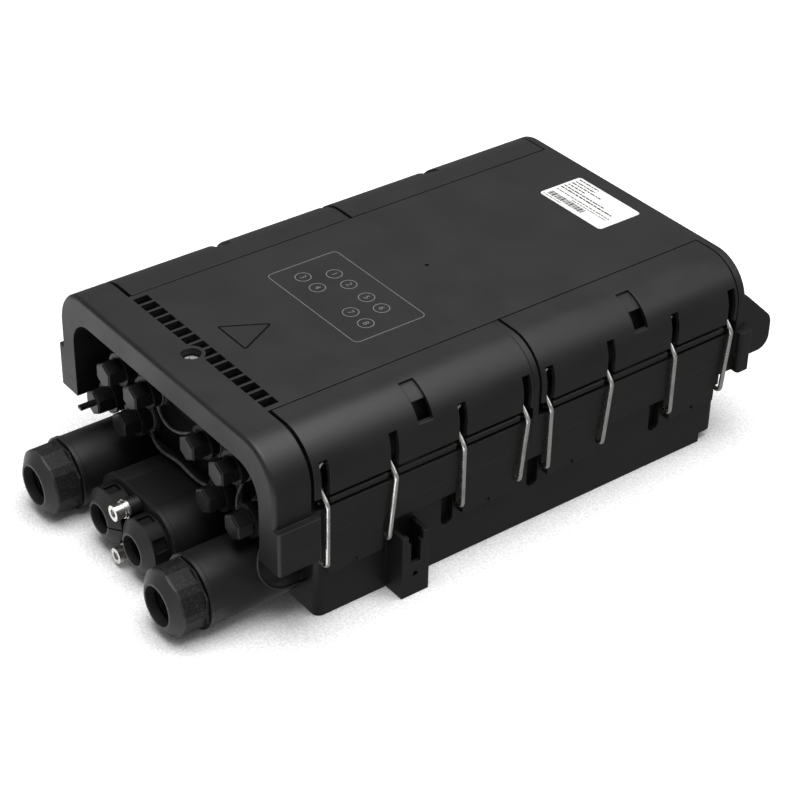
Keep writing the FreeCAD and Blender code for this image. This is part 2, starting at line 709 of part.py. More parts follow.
def swept(path, radius):
    """A round wire along a path."""
    first = path.Edges[0]
    start = first.valueAt(first.FirstParameter)
    heading = first.tangentAt(first.FirstParameter)
    ring = Part.Wire([Part.Circle(start, heading, radius).toShape()])
    return path.makePipeShell([ring], True, False)


def wire_item(name, path, radius):
    """An object of the document made of round wire along a path."""
    item = doc.addObject("Part::Feature", name)
    item.Shape = swept(path, radius.value)
    item.Placement = FreeCAD.Placement()
    return item


def cord_path(name, points):
    """The path of a cord whose bends are as wide as its runs allow."""
    bends = cord_bends(points)
    print(name, "bend radii", [round(bend, 1) for bend in bends])
    return bent_path(points, bends)


def cord_bends(points):
    """The largest bend radius that the runs beside each inner point allow."""
    spots = [FreeCAD.Vector(*point) for point in points]
    bends = []
    for before, corner, after in zip(spots, spots[1:], spots[2:]):
        back = before - corner
        ahead = after - corner
        half_turn = (math.pi - back.getAngle(ahead)) / 2
        bends.append(BEND_SHARE * min(back.Length, ahead.Length) / math.tan(half_turn))
    return bends


# Places that several pieces share
half_base = s.base_width / 2
half_flange = s.flange_width / 2
half_block = s.block_width / 2
half_cover = s.cover_width / 2
half_arch = s.arch_width / 2
flange_bottom = s.split_height - s.flange_drop
flange_top = s.split_height + s.flange_rise
lever_floor = s.box_height - s.lever_wall - s.lever_float
hinge_height = flange_top + s.hinge_radius + s.hinge_float
lever_edge = hinge_height + s.hinge_radius + s.hinge_gap
cover_corner = smaller(s.cover_corner, s.box_height - lever_edge - s.lever_straight)
leg_reach = half_flange + s.leg_float + s.wire_radius
keeper_bottom = s.hook_height + s.wire_radius + s.hook_float
inner_front = s.base_front - s.base_wall
inner_half = half_base - s.base_wall
levers = {
    "front": (-s.lever_one_start, s.lever_one_end, (s.bail_one, s.bail_two)),
    "rear": (s.lever_two_start, s.lever_two_end, (s.bail_three, s.bail_four)),
}
bail_fronts = [front for start, end, fronts in levers.values() for front in fronts]
ports = {
    1: (-s.upper_far, s.upper_row),
    2: (-s.upper_near, s.upper_row),
    3: (-s.lower_far, s.lower_row),
    4: (-s.lower_near, s.lower_row),
    5: (s.upper_near, s.upper_row),
    6: (s.upper_far, s.upper_row),
    7: (s.lower_near, s.lower_row),
    8: (s.lower_far, s.lower_row),
}
clamp_heights = (s.gland_height - s.clamp_offset, s.gland_height + s.clamp_offset)


def corner_blocks(name, z):
    """The four blocks where the flange widens, with rounded outer edges."""
    blocks = []
    ends = {"front": (-s.hood_front, s.block_front - s.hood_front),
            "rear": (s.flange_rear - s.block_rear, s.flange_rear)}
    for end, y in ends.items():
        for side, sign in SIDES.items():
            outer = sign * half_block
            corners = [(sign * half_arch, y[0]), (outer, y[0], s.block_round),
                       (outer, y[1], s.block_round), (sign * half_arch, y[1])]
            blocks.append(prism(f"{name}_{end}_{side}", "Z", corners, z[0], z[1]))
    return blocks


def base_sides():
    """Pads, keepers and brackets on the tub's side walls."""
    parts = []
    wall_inside = half_base - s.overlap
    for side, sign in SIDES.items():
        for index, front in enumerate(bail_fronts):
            foot = front + s.bail_width - s.bail_lean
            gap = s.wire_radius + s.pad_gap
            pad = box(f"pad_{side}_{index}", (sign * wall_inside, sign * half_flange),
                      (front + gap, foot - gap), (s.split_height - s.pad_drop, s.split_height))
            middle = (front + foot) / 2
            notch = box(f"pad_notch_{side}_{index}",
                        (sign * (half_flange - s.pad_notch / 2), sign * (half_flange + s.past)),
                        (middle - s.pad_notch / 2, middle + s.pad_notch / 2),
                        (s.split_height - s.pad_drop - s.past, s.split_height - s.pad_drop + s.pad_notch))
            parts.append(cut(f"notched_pad_{side}_{index}", pad, [notch]))
            for leg, y in (("front", front), ("rear", foot)):
                parts.append(box(f"keeper_{side}_{index}_{leg}",
                                 (sign * wall_inside, sign * (half_base + s.keeper_depth)),
                                 (y - s.keeper_width / 2, y + s.keeper_width / 2),
                                 (keeper_bottom, flange_bottom + s.overlap)))
        parts.append(side_bracket(side, sign))
    return parts


def side_bracket(side, sign):
    """An open box on the tub's side, with a stepped slot and a screw hole in its face."""
    middle = s.bracket_middle
    half = s.bracket_length / 2
    face = s.bracket_reach
    outside = (sign * (face - s.bracket_wall - s.past), sign * (face + s.past))
    block = box(f"bracket_block_{side}", (sign * (half_base - s.overlap), sign * face),
                (middle - half, middle + half), (0, s.bracket_height))
    hollow = box(f"bracket_hollow_{side}", (sign * half_base, sign * (face - s.bracket_wall)),
                 (middle - half + s.bracket_wall, middle + half - s.bracket_wall),
                 (s.bracket_wall, s.bracket_height + s.past))
    slot = box(f"bracket_slot_{side}", outside,
               (middle - s.bracket_slot / 2, middle + s.bracket_slot / 2),
               (s.bracket_slot_floor, s.bracket_height + s.past))
    mouth = box(f"bracket_mouth_{side}", outside,
                (middle - s.bracket_mouth / 2, middle + s.bracket_mouth / 2),
                (s.bracket_mouth_floor, s.bracket_height + s.past))
    hole = cylinder(f"bracket_hole_{side}", "X", s.bracket_hole,
                    (ordered(outside)[0], middle, s.bracket_hole_height), s.bracket_wall + 2 * s.past)
    return cut(f"bracket_{side}", block, [hollow, slot, mouth, hole])


def side_recesses():
    """Round-bottomed recesses beside the bails' front legs, and the walls behind them."""
    walls = []
    pockets = []
    for side, sign in SIDES.items():
        for index, front in enumerate(bail_fronts[1:]):
            middle = front - s.recess_offset
            half = s.recess_width / 2
            floor = half_base - s.recess_inset
            walls.append(box(f"recess_wall_{side}_{index}",
                             (sign * (floor - s.recess_wall), sign * (half_base - s.overlap)),
                             (middle - half - s.recess_wall, middle + half + s.recess_wall),
                             (s.recess_bottom - s.recess_wall, s.split_height - s.seal_height - s.past)))
            pockets.append(box(f"recess_{side}_{index}", (sign * floor, sign * (half_base + s.past)),
                               (middle - half, middle + half), (s.recess_bottom + half, flange_bottom)))
            start = floor if sign > 0 else -(half_base + s.past)
            pockets.append(cylinder(f"recess_round_{side}_{index}", "X", half,
                                    (start, middle, s.recess_bottom + half), s.recess_inset + s.past))
    return walls, pockets


def entry_tubes():
    """Cable entries moulded on the tub's front wall, and their bores."""
    tubes = []
    bores = []
    root = -s.base_front + s.overlap
    inside = -inner_front + s.past
    for side, sign in SIDES.items():
        axis = (sign * s.gland_reach, s.gland_height)
        tubes.append(entry_bar(f"gland_tube_{side}", s.gland_radius, axis, -s.gland_end, root))
        tubes.append(entry_bar(f"gland_rim_{side}", s.gland_radius + s.rim_rise, axis,
                               -s.gland_end, -s.gland_end + s.rim_length))
        tubes.append(entry_bar(f"spigot_{side}", s.spigot_radius, axis,
                               -s.gland_end - s.spigot_length, -s.gland_end + s.rim_length))
        bores.append(entry_bar(f"gland_bore_{side}", s.gland_bore, axis, -s.gland_end + s.rim_length, inside))
        bores.append(entry_bar(f"spigot_bore_{side}", s.spigot_bore, axis,
                               -s.gland_end - s.spigot_length - s.past, inside))
        lobe = (sign * s.lobe_reach, s.gland_height)
        tubes.append(entry_bar(f"oval_lobe_{side}", s.gland_radius, lobe, -s.oval_end, root))
        tubes.append(entry_bar(f"oval_rim_{side}", s.gland_radius + s.rim_rise, lobe,
                               -s.oval_end, -s.oval_end + s.rim_length))
        bores.append(entry_bar(f"collar_seat_{side}", s.collar_radius + s.fixed_gap, lobe,
                               -s.oval_end - s.past, -s.oval_end + s.collar_depth))
        bores.append(entry_bar(f"oval_bore_{side}", s.collar_radius - s.collar_ledge, lobe,
                               -s.oval_end, inside))
    saddle = s.saddle_height / 2
    for name, end, rise in (("oval_saddle", root, saddle),
                            ("oval_saddle_rim", -s.oval_end + s.rim_length, saddle + s.rim_rise)):
        tubes.append(box(name, (-s.saddle_width / 2, s.saddle_width / 2), (-s.oval_end, end),
                         (s.gland_height - rise, s.gland_height + rise)))
    for index, height in enumerate(clamp_heights):
        tubes.append(entry_bar(f"clamp_boss_{index}", s.clamp_boss, (0, height),
                               -s.clamp_boss_end, -s.oval_end + s.clamp_length))
        bores.append(entry_bar(f"clamp_hole_{index}", s.clamp_hole, (0, height),
                               -s.clamp_boss_end - s.past, -s.clamp_boss_end + s.clamp_length))
    return tubes, bores


def entry_bar(name, radius, axis, start, end):
    """A round bar along Y, about an axis given by its x and z."""
    return cylinder(name, "Y", radius, (axis[0], start, axis[1]), end - start)


def rim_seal_bars(name, room):
    """The U-shaped rim seal: two sides and a rear bar, with room round it."""
    low = s.split_height - s.seal_height
    inner = s.seal_reach - room
    outer = s.seal_reach + s.seal_width + room
    rear = s.seal_rear + room
    rear_inner = rear - s.seal_width - 2 * room
    bars = [box(f"{name}_rear", (-outer, outer), (rear_inner, rear), (low, s.split_height))]
    for side, sign in SIDES.items():
        bars.append(box(f"{name}_{side}", (sign * inner, sign * outer),
                        (-s.seal_front - room, rear), (low, s.split_height)))
    return bars


def tub_prism(name, half, y, corner, z):
    """An upright block with rounded corners."""
    corners = [(-half, y[0], corner), (half, y[0], corner), (half, y[1], corner), (-half, y[1], corner)]
    return prism(name, "Z", corners, z[0], z[1])


def make_base():
    tub = tub_prism("tub", half_base, (-s.base_front, s.base_rear), s.base_corner, (0, s.split_height))
    flange = box("base_flange", (-half_flange, half_flange), (-s.flange_front, s.flange_rear),
                 (flange_bottom, s.split_height))
    half_panel = s.panel_width / 2
    sill = box("panel_sill", (-half_panel, half_panel), (-s.flange_front, -inner_front),
               (s.panel_bottom, s.split_height))
    ledge = box("panel_ledge", (-half_panel, half_panel), (-s.ledge_front, -inner_front),
                (s.panel_bottom - s.ledge_height, s.panel_bottom))
    blocks = corner_blocks("base_block", (flange_bottom, s.split_height))
    tubes, bores = entry_tubes()
    outside = fuse("base_outside", [tub, flange, sill, ledge] + blocks + base_sides() + tubes)
    corner = s.base_corner - s.base_wall
    cavity = tub_prism("base_cavity", inner_half, (-inner_front, s.base_rear - s.base_wall), corner,
                       (s.base_floor, s.split_height + s.past))
    window = box("base_window", (-s.window_half, s.window_half),
                 (-s.flange_front - s.past, -inner_front + s.past),
                 (s.window_floor, s.split_height + s.past))
    step = box("rear_step", (-half_base - s.past, half_base + s.past),
               (s.base_rear - s.step_depth, s.base_rear + s.past), (-s.past, s.step_height))
    step_lining = box("step_lining", (-inner_half - s.overlap, inner_half + s.overlap),
                      (s.base_rear - s.step_depth - s.base_wall, s.base_rear - s.overlap),
                      (s.step_height, s.step_height + s.base_floor))
    step_riser = box("step_riser", (-inner_half - s.overlap, inner_half + s.overlap),
                     (s.base_rear - s.step_depth - s.base_wall, s.base_rear - s.step_depth),
                     (s.base_floor - s.overlap, s.step_height + s.base_floor))
    walls, pockets = side_recesses()
    shell = cut("base_hollow", outside, [cavity, window])
    lined = fuse("base_lined", [shell, step_lining, step_riser] + walls)
    groove = rim_seal_bars("seal_groove", s.fixed_gap)
    node("base_shell", cut("base_shell", lined, [step] + pockets + bores + groove))


def cover_section(name, width, top, corner, start, end, floor):
    """A length of the cover's section, with rounded upper corners."""
    half = width / 2
    corners = [(-half, floor), (-half, top, corner), (half, top, corner), (half, floor)]
    return prism(name, "Y", corners, start, end)


def lies_at(bounds, y):
    """Whether an edge with these bounds lies in the plane at y."""
    return abs(bounds.YMin - y) < TOLERANCE and abs(bounds.YMax - y) < TOLERANCE


def hood_roof():
    """The hood with its front edge rounded."""
    back = -s.lever_one_start - s.hood_gap
    hood = cover_section("hood_block", s.cover_width, s.box_height, cover_corner,
                         -s.hood_front, back, s.split_height)
    front = -s.hood_front.value
    edge_round = smaller(s.hood_edge, (back + s.hood_front) / 2)
    floor = s.split_height.value

    def on_front_edge(edge):
        bounds = edge.BoundBox
        return lies_at(bounds, front) and bounds.ZMax > floor + TOLERANCE
    return fillet("hood", hood, edge_round, on_front_edge)


def rear_lug(side, sign):
    """A lug behind the cover with a sloping top, whose rounded nose hooks down behind the base's flange."""
    inside = s.cover_end - s.overlap
    knee = s.cover_end + s.cover_wall
    hook = s.flange_rear + s.lug_hook_gap
    low = s.split_height - s.lug_hook_drop
    corners = [(inside, s.lug_bottom), (inside, s.lug_top), (knee, s.lug_top), (s.lug_end, s.lug_nose),
               (s.lug_end, low, s.lug_round), (hook, low, s.lug_hook_round), (hook, s.lug_bottom)]
    start, end = ordered((sign * s.lug_inner, sign * s.lug_outer))
    lug = prism(f"rear_lug_block_{side}", "X", corners, start, end)
    rear = s.lug_end.value
    nose = s.lug_nose.value

    def on_nose(edge):
        bounds = edge.BoundBox
        return lies_at(bounds, rear) and abs(bounds.ZMin - nose) < TOLERANCE and bounds.XLength > TOLERANCE
    return fillet(f"rear_lug_{side}", lug, s.lug_nose_round, on_nose)


def middle_barrels():
    """The cover's own hinge barrels, between the two bails of each lever, with the rods' holes."""
    barrels = []
    holes = []
    gap = s.leg_slot / 2 + s.barrel_gap
    for side, sign in SIDES.items():
        axis = (sign * s.hinge_reach, hinge_height)
        for row, (start, end, fronts) in levers.items():
            low = fronts[0] + s.bail_width + gap
            high = fronts[1] - gap
            barrels.append(entry_bar(f"cover_barrel_{side}_{row}", s.hinge_radius, axis, low, high))
            barrels.append(box(f"barrel_foot_{side}_{row}",
                               (sign * (s.dome_width / 2 - s.overlap), sign * s.hinge_reach), (low, high),
                               (flange_top - s.overlap, hinge_height)))
            holes.append(entry_bar(f"cover_rod_hole_{side}_{row}", s.rod_radius + s.fixed_gap, axis,
                                   low - s.past, high + s.past))
    return barrels, holes


def air_slots(boss):
    """The row of air slots, trimmed by the cover screw's boss."""
    slots = []
    count = int(s.vent_count.value)
    for index in range(count):
        middle = s.vent_pitch * (index - (count - 1) / 2)
        slots.append(box(f"vent_{index}", (middle - s.vent_width / 2, middle + s.vent_width / 2),
                         (-s.vent_place - s.vent_length / 2, -s.vent_place + s.vent_length / 2),
                         (s.box_height - s.cover_wall - s.past, s.box_height + s.past)))
    return cut("vents", fuse("vent_row", slots), [boss])


def make_cover():
    front = -s.lever_one_start - s.hood_gap
    rear = s.lever_two_end + s.seam_gap
    parts = [hood_roof()]
    parts.append(cover_section("rear_strip", s.cover_width, s.box_height, cover_corner,
                               rear, s.cover_end, s.split_height))
    inset = s.rib_inset
    parts.append(cover_section("middle_rib", s.cover_width - 2 * inset, s.box_height - inset,
                               cover_corner - inset, s.lever_one_end + s.seam_gap,
                               s.lever_two_start - s.seam_gap, s.split_height))
    parts.append(cover_section("dome", s.dome_width, lever_floor, s.dome_corner,
                               front - s.overlap, rear + s.overlap, s.split_height))
    seam = s.lever_seam - s.seam_gap / 2
    parts.append(box("top_plate", (-seam, seam), (front - s.overlap, rear + s.overlap),
                     (lever_floor - s.cover_wall, s.box_height)))
    parts.append(box("cover_flange", (-half_flange, half_flange), (-s.flange_front, s.flange_rear),
                     (s.split_height, flange_top)))
    parts.extend(corner_blocks("cover_block", (s.split_height, flange_top)))
    parts.extend(rear_lug(side, sign) for side, sign in SIDES.items())
    barrels, holes = middle_barrels()
    outside = fuse("cover_outside", parts + barrels)

    below = s.split_height - s.past
    arch = cover_section("arch", s.arch_width, s.arch_top, s.arch_corner,
                         -s.hood_front - s.past, -s.flange_front, below)
    vent_rear = -s.vent_place + s.vent_length / 2
    inner_back = -s.flange_front + s.bulkhead
    room = cover_section("cover_room", s.dome_width - 2 * s.cover_wall, lever_floor - s.cover_wall,
                         s.dome_corner - s.cover_wall, inner_back, s.cover_end - s.cover_wall, below)
    half_plenum = s.plenum_width / 2
    housing = box("plenum_housing", (-half_plenum - s.cover_wall, half_plenum + s.cover_wall),
                  (inner_back - s.past, vent_rear + s.cover_wall),
                  (s.plenum_floor - s.cover_wall, s.box_height))
    boss = cylinder("screw_boss", "Z", s.screw_boss, (0, -s.screw_place, s.split_height), s.box_height)
    plenum = box("plenum", (-half_plenum, half_plenum), (-s.hood_front + s.hood_wall, vent_rear),
                 (s.plenum_floor, s.box_height - s.cover_wall))
    window = box("cover_window", (-s.window_half, s.window_half),
                 (-s.flange_front - s.past, inner_back + s.past), (below, s.window_top))
    recess = cylinder("screw_recess", "Z", s.screw_recess,
                      (0, -s.screw_place, s.box_height - s.recess_depth), s.recess_depth + s.past)
    hole = cylinder("screw_hole", "Z", s.cover_screw_shank + s.running_gap,
                    (0, -s.screw_place, s.arch_top - s.past), s.box_height - s.arch_top)
    relief = cylinder("panel_boss_relief", "Z", s.panel_boss + s.panel_gap,
                      (0, -s.screw_place, below), s.arch_top - below)
    dimple = cylinder("gate_dimple", "Z", s.dimple_size,
                      (0, s.dimple_place, s.box_height - s.dimple_size), s.dimple_size + s.past)
    tools = [arch, cut("cover_room_cut", room, [housing]), cut("plenum_cut", plenum, [boss]), window,
             recess, hole, relief, dimple, air_slots(boss)]
    node("cover_shell", cut("cover_shell", outside, tools + holes))


def make_panel():
    """The panel that carries the ports, with a boss for the cover screw."""
    half = s.panel_width / 2
    top = s.arch_top - s.panel_gap
    corner = s.arch_corner - (half_arch - half)
    plate = prism("panel_plate", "Y", [(-half, s.panel_bottom), (-half, top, corner), (half, top, corner),
                                       (half, s.panel_bottom)], -s.panel_face, -s.flange_front)
    boss_length = s.panel_boss_length
    boss = cylinder("panel_boss", "Z", s.panel_boss, (0, -s.screw_place, top - boss_length), boss_length)
    hole = cylinder("panel_screw_hole", "Z", s.cover_screw_shank + s.fixed_gap,
                    (0, -s.screw_place, top - boss_length + s.overlap), boss_length)
    holes = [entry_bar(f"port_hole_{index}", s.neck_radius + s.fixed_gap, axis,
                       -s.panel_face - s.past, -s.flange_front + s.past) for index, axis in ports.items()]
    node("port_panel", cut("port_panel", fuse("panel_with_boss", [plate, boss]), [hole] + holes))


def lever_shell(name, sign, start, end):
    """A plate that wraps over the cover's long edge."""
    seam = s.lever_seam + s.seam_gap / 2
    inner = half_cover - s.lever_wall
    corners = [(sign * seam, s.box_height), (sign * half_cover, s.box_height, cover_corner),
               (sign * half_cover, lever_edge), (sign * inner, lever_edge),
               (sign * inner, s.box_height - s.lever_wall, cover_corner - s.lever_wall),
               (sign * seam, s.box_height - s.lever_wall)]
    return prism(f"{name}_plate", "Y", corners, start, end)


def finger_notch(name, sign, middle):
    """A notch over the lever's edge: a shallow upper part and an open lower part."""
    y = (middle - s.notch_width / 2, middle + s.notch_width / 2)
    far = half_cover + s.past
    centre = (sign * (half_cover - cover_corner), s.box_height - cover_corner)
    band = box(f"{name}_notch_band", (sign * s.notch_start, sign * far), y,
               (s.notch_bottom, s.box_height + s.past))
    core = entry_bar(f"{name}_notch_core", cover_corner - s.notch_depth, centre,
                     y[0] - s.past, y[1] + s.past)
    shallow = cut(f"{name}_notch_shallow", band, [core])
    inner = half_cover - cover_corner
    through = box(f"{name}_notch_hole", (sign * inner, sign * far), y, (s.notch_bottom, s.notch_hole))
    return [shallow, through]


def make_lever(side, sign, row):
    start, end, fronts = levers[row]
    name = f"latch_lever_{side}_{row}"
    axis = (sign * s.hinge_reach, hinge_height)
    bar = (sign * s.bar_reach, s.bar_height)
    gap = s.leg_slot / 2 + s.barrel_gap
    parts = [lever_shell(name, sign, start, end)]
    cuts = finger_notch(name, sign, (start + end) / 2)
    web_face = half_cover - s.web_inset
    web_x = (sign * (web_face - s.web_wall), sign * web_face)
    lap_x = (sign * (web_face - s.web_wall), sign * (half_cover - s.lever_wall + s.overlap / 2))
    lap_z = (lever_edge, lever_edge + s.web_lap)
    lug_half = s.bar_lug / 2
    lug_room = s.wire_radius + s.running_gap + s.bar_lug_wall
    lug_x = (sign * (s.bar_reach - lug_room), sign * (half_cover - s.lever_wall + s.overlap / 2))
    lug_z = (s.bar_height - lug_room, s.bar_height + lug_room)
    for index, front in enumerate(fronts):
        rear = front + s.bail_width
        low = front + gap
        high = rear - gap
        parts.append(entry_bar(f"{name}_barrel_{index}", s.hinge_radius, axis, low, high))
        parts.append(box(f"{name}_web_{index}", web_x, (low, high), (hinge_height, lever_edge + s.overlap)))
        parts.append(box(f"{name}_lap_{index}", lap_x, (low, high), lap_z))
        for leg, y in (("front", front + s.bar_lug_inset), ("rear", rear - s.bar_lug_inset)):
            parts.append(box(f"{name}_lug_{index}_{leg}", lug_x, (y - lug_half, y + lug_half), lug_z))
        for leg, y in (("front", front), ("rear", rear)):
            cuts.append(box(f"{name}_slot_{index}_{leg}",
                            (sign * (s.dome_width / 2), sign * (half_cover + s.past)),
                            (y - s.leg_slot / 2, y + s.leg_slot / 2), (flange_top, s.leg_slot_top)))
    cuts.append(entry_bar(f"{name}_rod_hole", s.rod_radius + s.running_gap, axis, start, end))
    cuts.append(entry_bar(f"{name}_bar_hole", s.wire_radius + s.running_gap, bar, start, end))
    node(name, cut(name, fuse(f"{name}_solid", parts), cuts))
    rod = entry_bar(f"hinge_rod_{side}_{row}", s.rod_radius, axis, start + s.rod_margin, end - s.rod_margin)
    node(f"hinge_rod_{side}_{row}", rod)


def make_bail(side, sign, index):
    """A bent wire: hook, leg, cross bar, leg and hook."""
    front = bail_fronts[index].value
    rear = front + s.bail_width.value
    foot = rear - s.bail_lean.value
    leg = sign * leg_reach.value
    bar = sign * s.bar_reach.value
    tip = sign * (leg_reach.value - s.hook_length.value)
    hook = s.hook_height.value
    knee = s.knee_height.value
    slant = knee + s.slant_rise.value
    top = s.bar_height.value
    points = [(tip, front, hook), (leg, front, hook), (leg, front, knee), (bar, front, slant),
              (bar, front, top), (bar, rear, top), (bar, rear, slant), (leg, rear, knee),
              (leg, foot, hook), (tip, foot, hook)]
    tight = s.wire_bend.value
    gentle = s.knee_bend.value
    path = bent_path(points, [tight, gentle, gentle, tight, tight, gentle, gentle, tight])
    node(f"bail_{side}_{index + 1}", wire_item(f"bail_{side}_{index + 1}", path, s.wire_radius))


def side_pockets(name, axis, count, reach, depth, width, y):
    """Shallow pockets round a Y axis, cut into a side that lies reach from it."""
    pockets = []
    for index in range(count):
        pocket = box(f"{name}_{index}_block", (reach - depth, reach + s.past), y, (-width / 2, width / 2))
        turned = doc.addObject("Part::Compound", f"{name}_{index}")
        turned.Links = [pocket]
        angle = 360 * (index + 0.5) / count
        place(turned, axis[0], 0, axis[1], FreeCAD.Rotation(FreeCAD.Vector(0, 1, 0), angle))
        pockets.append(turned)
    return pockets


def make_gland(side, sign):
    """A gland nut with flats and a tapered nose, and the seal inside it."""
    axis = (sign * s.gland_reach, s.gland_height)
    back = -s.gland_end - s.nut_gap
    shoulder = -s.nut_end + s.nut_taper
    circle = s.nut_flats / 2 / math.cos(math.pi / s.nut_sides.value)
    block = doc.addObject("Part::Prism", f"nut_block_{side}")
    block.Polygon = int(s.nut_sides.value)
    bind(block, "Circumradius", circle)
    bind(block, "Height", back + s.nut_end)
    half_side = 180 / s.nut_sides.value
    upright = ALONG["Y"].multiply(FreeCAD.Rotation(FreeCAD.Vector(0, 0, 1), half_side))
    place(block, axis[0], -s.nut_end, axis[1], upright)
    nose = doc.addObject("Part::Cone", f"nut_nose_{side}")
    bind(nose, "Radius1", s.nut_nose)
    bind(nose, "Radius2", circle)
    bind(nose, "Height", s.nut_taper)
    place(nose, axis[0], -s.nut_end, axis[1], ALONG["Y"])
    barrel = entry_bar(f"nut_barrel_{side}", circle, axis, shoulder, back)
    shaped = common(f"nut_shaped_{side}", [block, fuse(f"nut_form_{side}", [nose, barrel])])
    bore = entry_bar(f"nut_bore_{side}", s.spigot_radius + s.running_gap, axis,
                     -s.nut_end + s.nut_lip, back + s.past)
    hole = entry_bar(f"nut_hole_{side}", s.nut_hole, axis, -s.nut_end - s.past, back + s.past)
    flats = side_pockets(f"nut_flat_{side}", axis, int(s.nut_sides.value), s.nut_flats / 2, s.grip_depth,
                         s.grip_width, (-s.nut_end - s.past, back - s.grip_margin))
    node(f"gland_nut_{side}", cut(f"gland_nut_{side}", shaped, [bore, hole] + flats))
    mouth = -s.gland_end - s.spigot_length
    profile = [(s.seal_hole, mouth), (s.spigot_bore - s.fixed_gap, mouth),
               (s.spigot_bore - s.fixed_gap, mouth + s.seal_length), (s.seal_hole, mouth + s.seal_length)]
    seal = turned_body(f"gland_seal_{side}", profile)
    place(seal, axis[0], 0, axis[1])
    node(f"gland_seal_{side}", seal)


def make_collar(side, sign):
    """A slit collar that closes round an uncut cable, with pockets round its rim."""
    back = -s.oval_end + s.collar_depth
    shoulder = -s.collar_end + s.collar_taper
    axis = (sign * s.lobe_reach, s.gland_height)
    profile = [(s.collar_bore, -s.collar_end), (s.collar_nose, -s.collar_end), (s.collar_radius, shoulder),
               (s.collar_radius, back), (s.collar_bore, back)]
    body = turned_body(f"collar_body_{side}", profile)
    place(body, axis[0], 0, axis[1])
    pocket_front = shoulder + s.pocket_margin
    cuts = side_pockets(f"collar_pocket_{side}", axis, int(s.pocket_count.value), s.collar_radius,
                        s.pocket_depth, s.pocket_width, (pocket_front, pocket_front + s.pocket_length))
    reach = s.lobe_reach - s.collar_radius - s.past
    cuts.append(box(f"collar_slit_{side}", (sign * reach, sign * s.lobe_reach),
                    (-s.collar_end - s.past, back + s.past),
                    (s.gland_height - s.slit_width / 2, s.gland_height + s.slit_width / 2)))
    node(f"cable_collar_{side}", cut(f"cable_collar_{side}", body, cuts))


def make_clamp_screws():
    """Socket screws with a flat and a spring washer each, above and below the collars."""
    screws = []
    flats = []
    springs = []
    seat = -s.clamp_boss_end
    spring_back = seat - s.flat_washer_height
    head_back = spring_back - s.spring_washer_height
    face = head_back - s.clamp_head_height
    for index, height in enumerate(clamp_heights):
        axis = (0, height)
        shank_end = head_back + s.clamp_length
        shank = entry_bar(f"clamp_shank_{index}", s.clamp_shank, axis, head_back, shank_end)
        head = entry_bar(f"clamp_head_{index}", s.clamp_head, axis, face, head_back)
        socket = doc.addObject("Part::Prism", f"clamp_socket_{index}")
        bind(socket, "Circumradius", s.socket_flats / math.sqrt(3))
        bind(socket, "Height", s.socket_depth + s.past)
        place(socket, 0, face - s.past, height, ALONG["Y"])
        screws.append(cut(f"clamp_screw_{index}", fuse(f"clamp_solid_{index}", [shank, head]), [socket]))
        flats.append(ring(f"clamp_flat_{index}", s.flat_washer, s.washer_hole, axis, spring_back, seat))
        whole = ring(f"clamp_ring_{index}", s.spring_washer, s.washer_hole, axis, head_back, spring_back)
        split = box(f"spring_split_{index}", (-s.spring_split / 2, s.spring_split / 2),
                    (head_back - s.past, spring_back + s.past), (height, height + s.spring_washer + s.past))
        springs.append(cut(f"clamp_spring_{index}", whole, [split]))
    node("clamp_screws", fuse("clamp_screws", screws))
    node("clamp_flat_washers", fuse("clamp_flat_washers", flats))
    node("clamp_spring_washers", fuse("clamp_spring_washers", springs))


def ring(name, outer, inner, axis, start, end):
    bar = entry_bar(f"{name}_bar", outer, axis, start, end)
    hole = entry_bar(f"{name}_hole", inner, axis, start - s.past, end + s.past)
    return cut(name, bar, [hole])


def make_port(index, axis):
    """An adapter with a socket at each end, and the hexagon cap on its neck."""
    flange_back = -s.panel_face - s.port_seal_height
    flange_face = flange_back - s.adapter_flange_height
    profile = [(s.socket_radius, -s.neck_end), (s.neck_radius, -s.neck_end), (s.neck_radius, flange_face),
               (s.adapter_flange, flange_face), (s.adapter_flange, flange_back), (s.neck_radius, flange_back),
               (s.neck_radius, -s.adapter_back), (s.socket_radius, -s.adapter_back),
               (s.socket_radius, -s.web_place + s.web_half), (s.sleeve_radius, -s.web_place + s.web_half),
               (s.sleeve_radius, -s.web_place - s.web_half), (s.socket_radius, -s.web_place - s.web_half)]
    adapter = turned_body(f"adapter_{index}", profile)
    place(adapter, axis[0], 0, axis[1])
    node(f"adapter_{index}", adapter)

    collar_back = -s.neck_end - s.panel_gap + s.cap_collar_height
    collar_face = -s.neck_end - s.panel_gap
    bore = s.neck_radius + s.running_gap
    skirt = turned_body(f"cap_{index}", [(bore, -s.cap_skirt_end), (bore, collar_face),
                                         (s.cap_collar, collar_face), (s.cap_collar, collar_back),
                                         (s.cap_skirt, collar_back), (s.cap_skirt, -s.cap_skirt_end)])
    pad_onto(skirt, "XZ_Plane", hexagon(s.cap_flats), -collar_face, s.cap_end + collar_face)
    doc.recompute()
    trim_cap_face(skirt)
    if index == TAB_PORT:
        square = [(-s.tab_radius, -s.tab_radius / 2), (s.tab_radius, -s.tab_radius / 2),
                  (s.tab_radius, s.tab_radius / 2), (-s.tab_radius, s.tab_radius / 2)]
        pad_onto(skirt, "XZ_Plane", square, s.cap_end, s.tab_length)
    place(skirt, axis[0], 0, axis[1])
    node(f"port_cap_{index}", skirt)


def trim_cap_face(body):
    """Chamfer the edges of a cap's hexagon face."""
    base = body.Tip
    face = -s.cap_end.value
    names = [f"Edge{index}" for index, edge in enumerate(base.Shape.Edges, start=1)
             if lies_at(edge.BoundBox, face)]
    chamfer = body.newObject("PartDesign::Chamfer", f"{body.Name}_chamfer")
    chamfer.Base = (base, names)
    bind(chamfer, "Size", s.cap_chamfer)


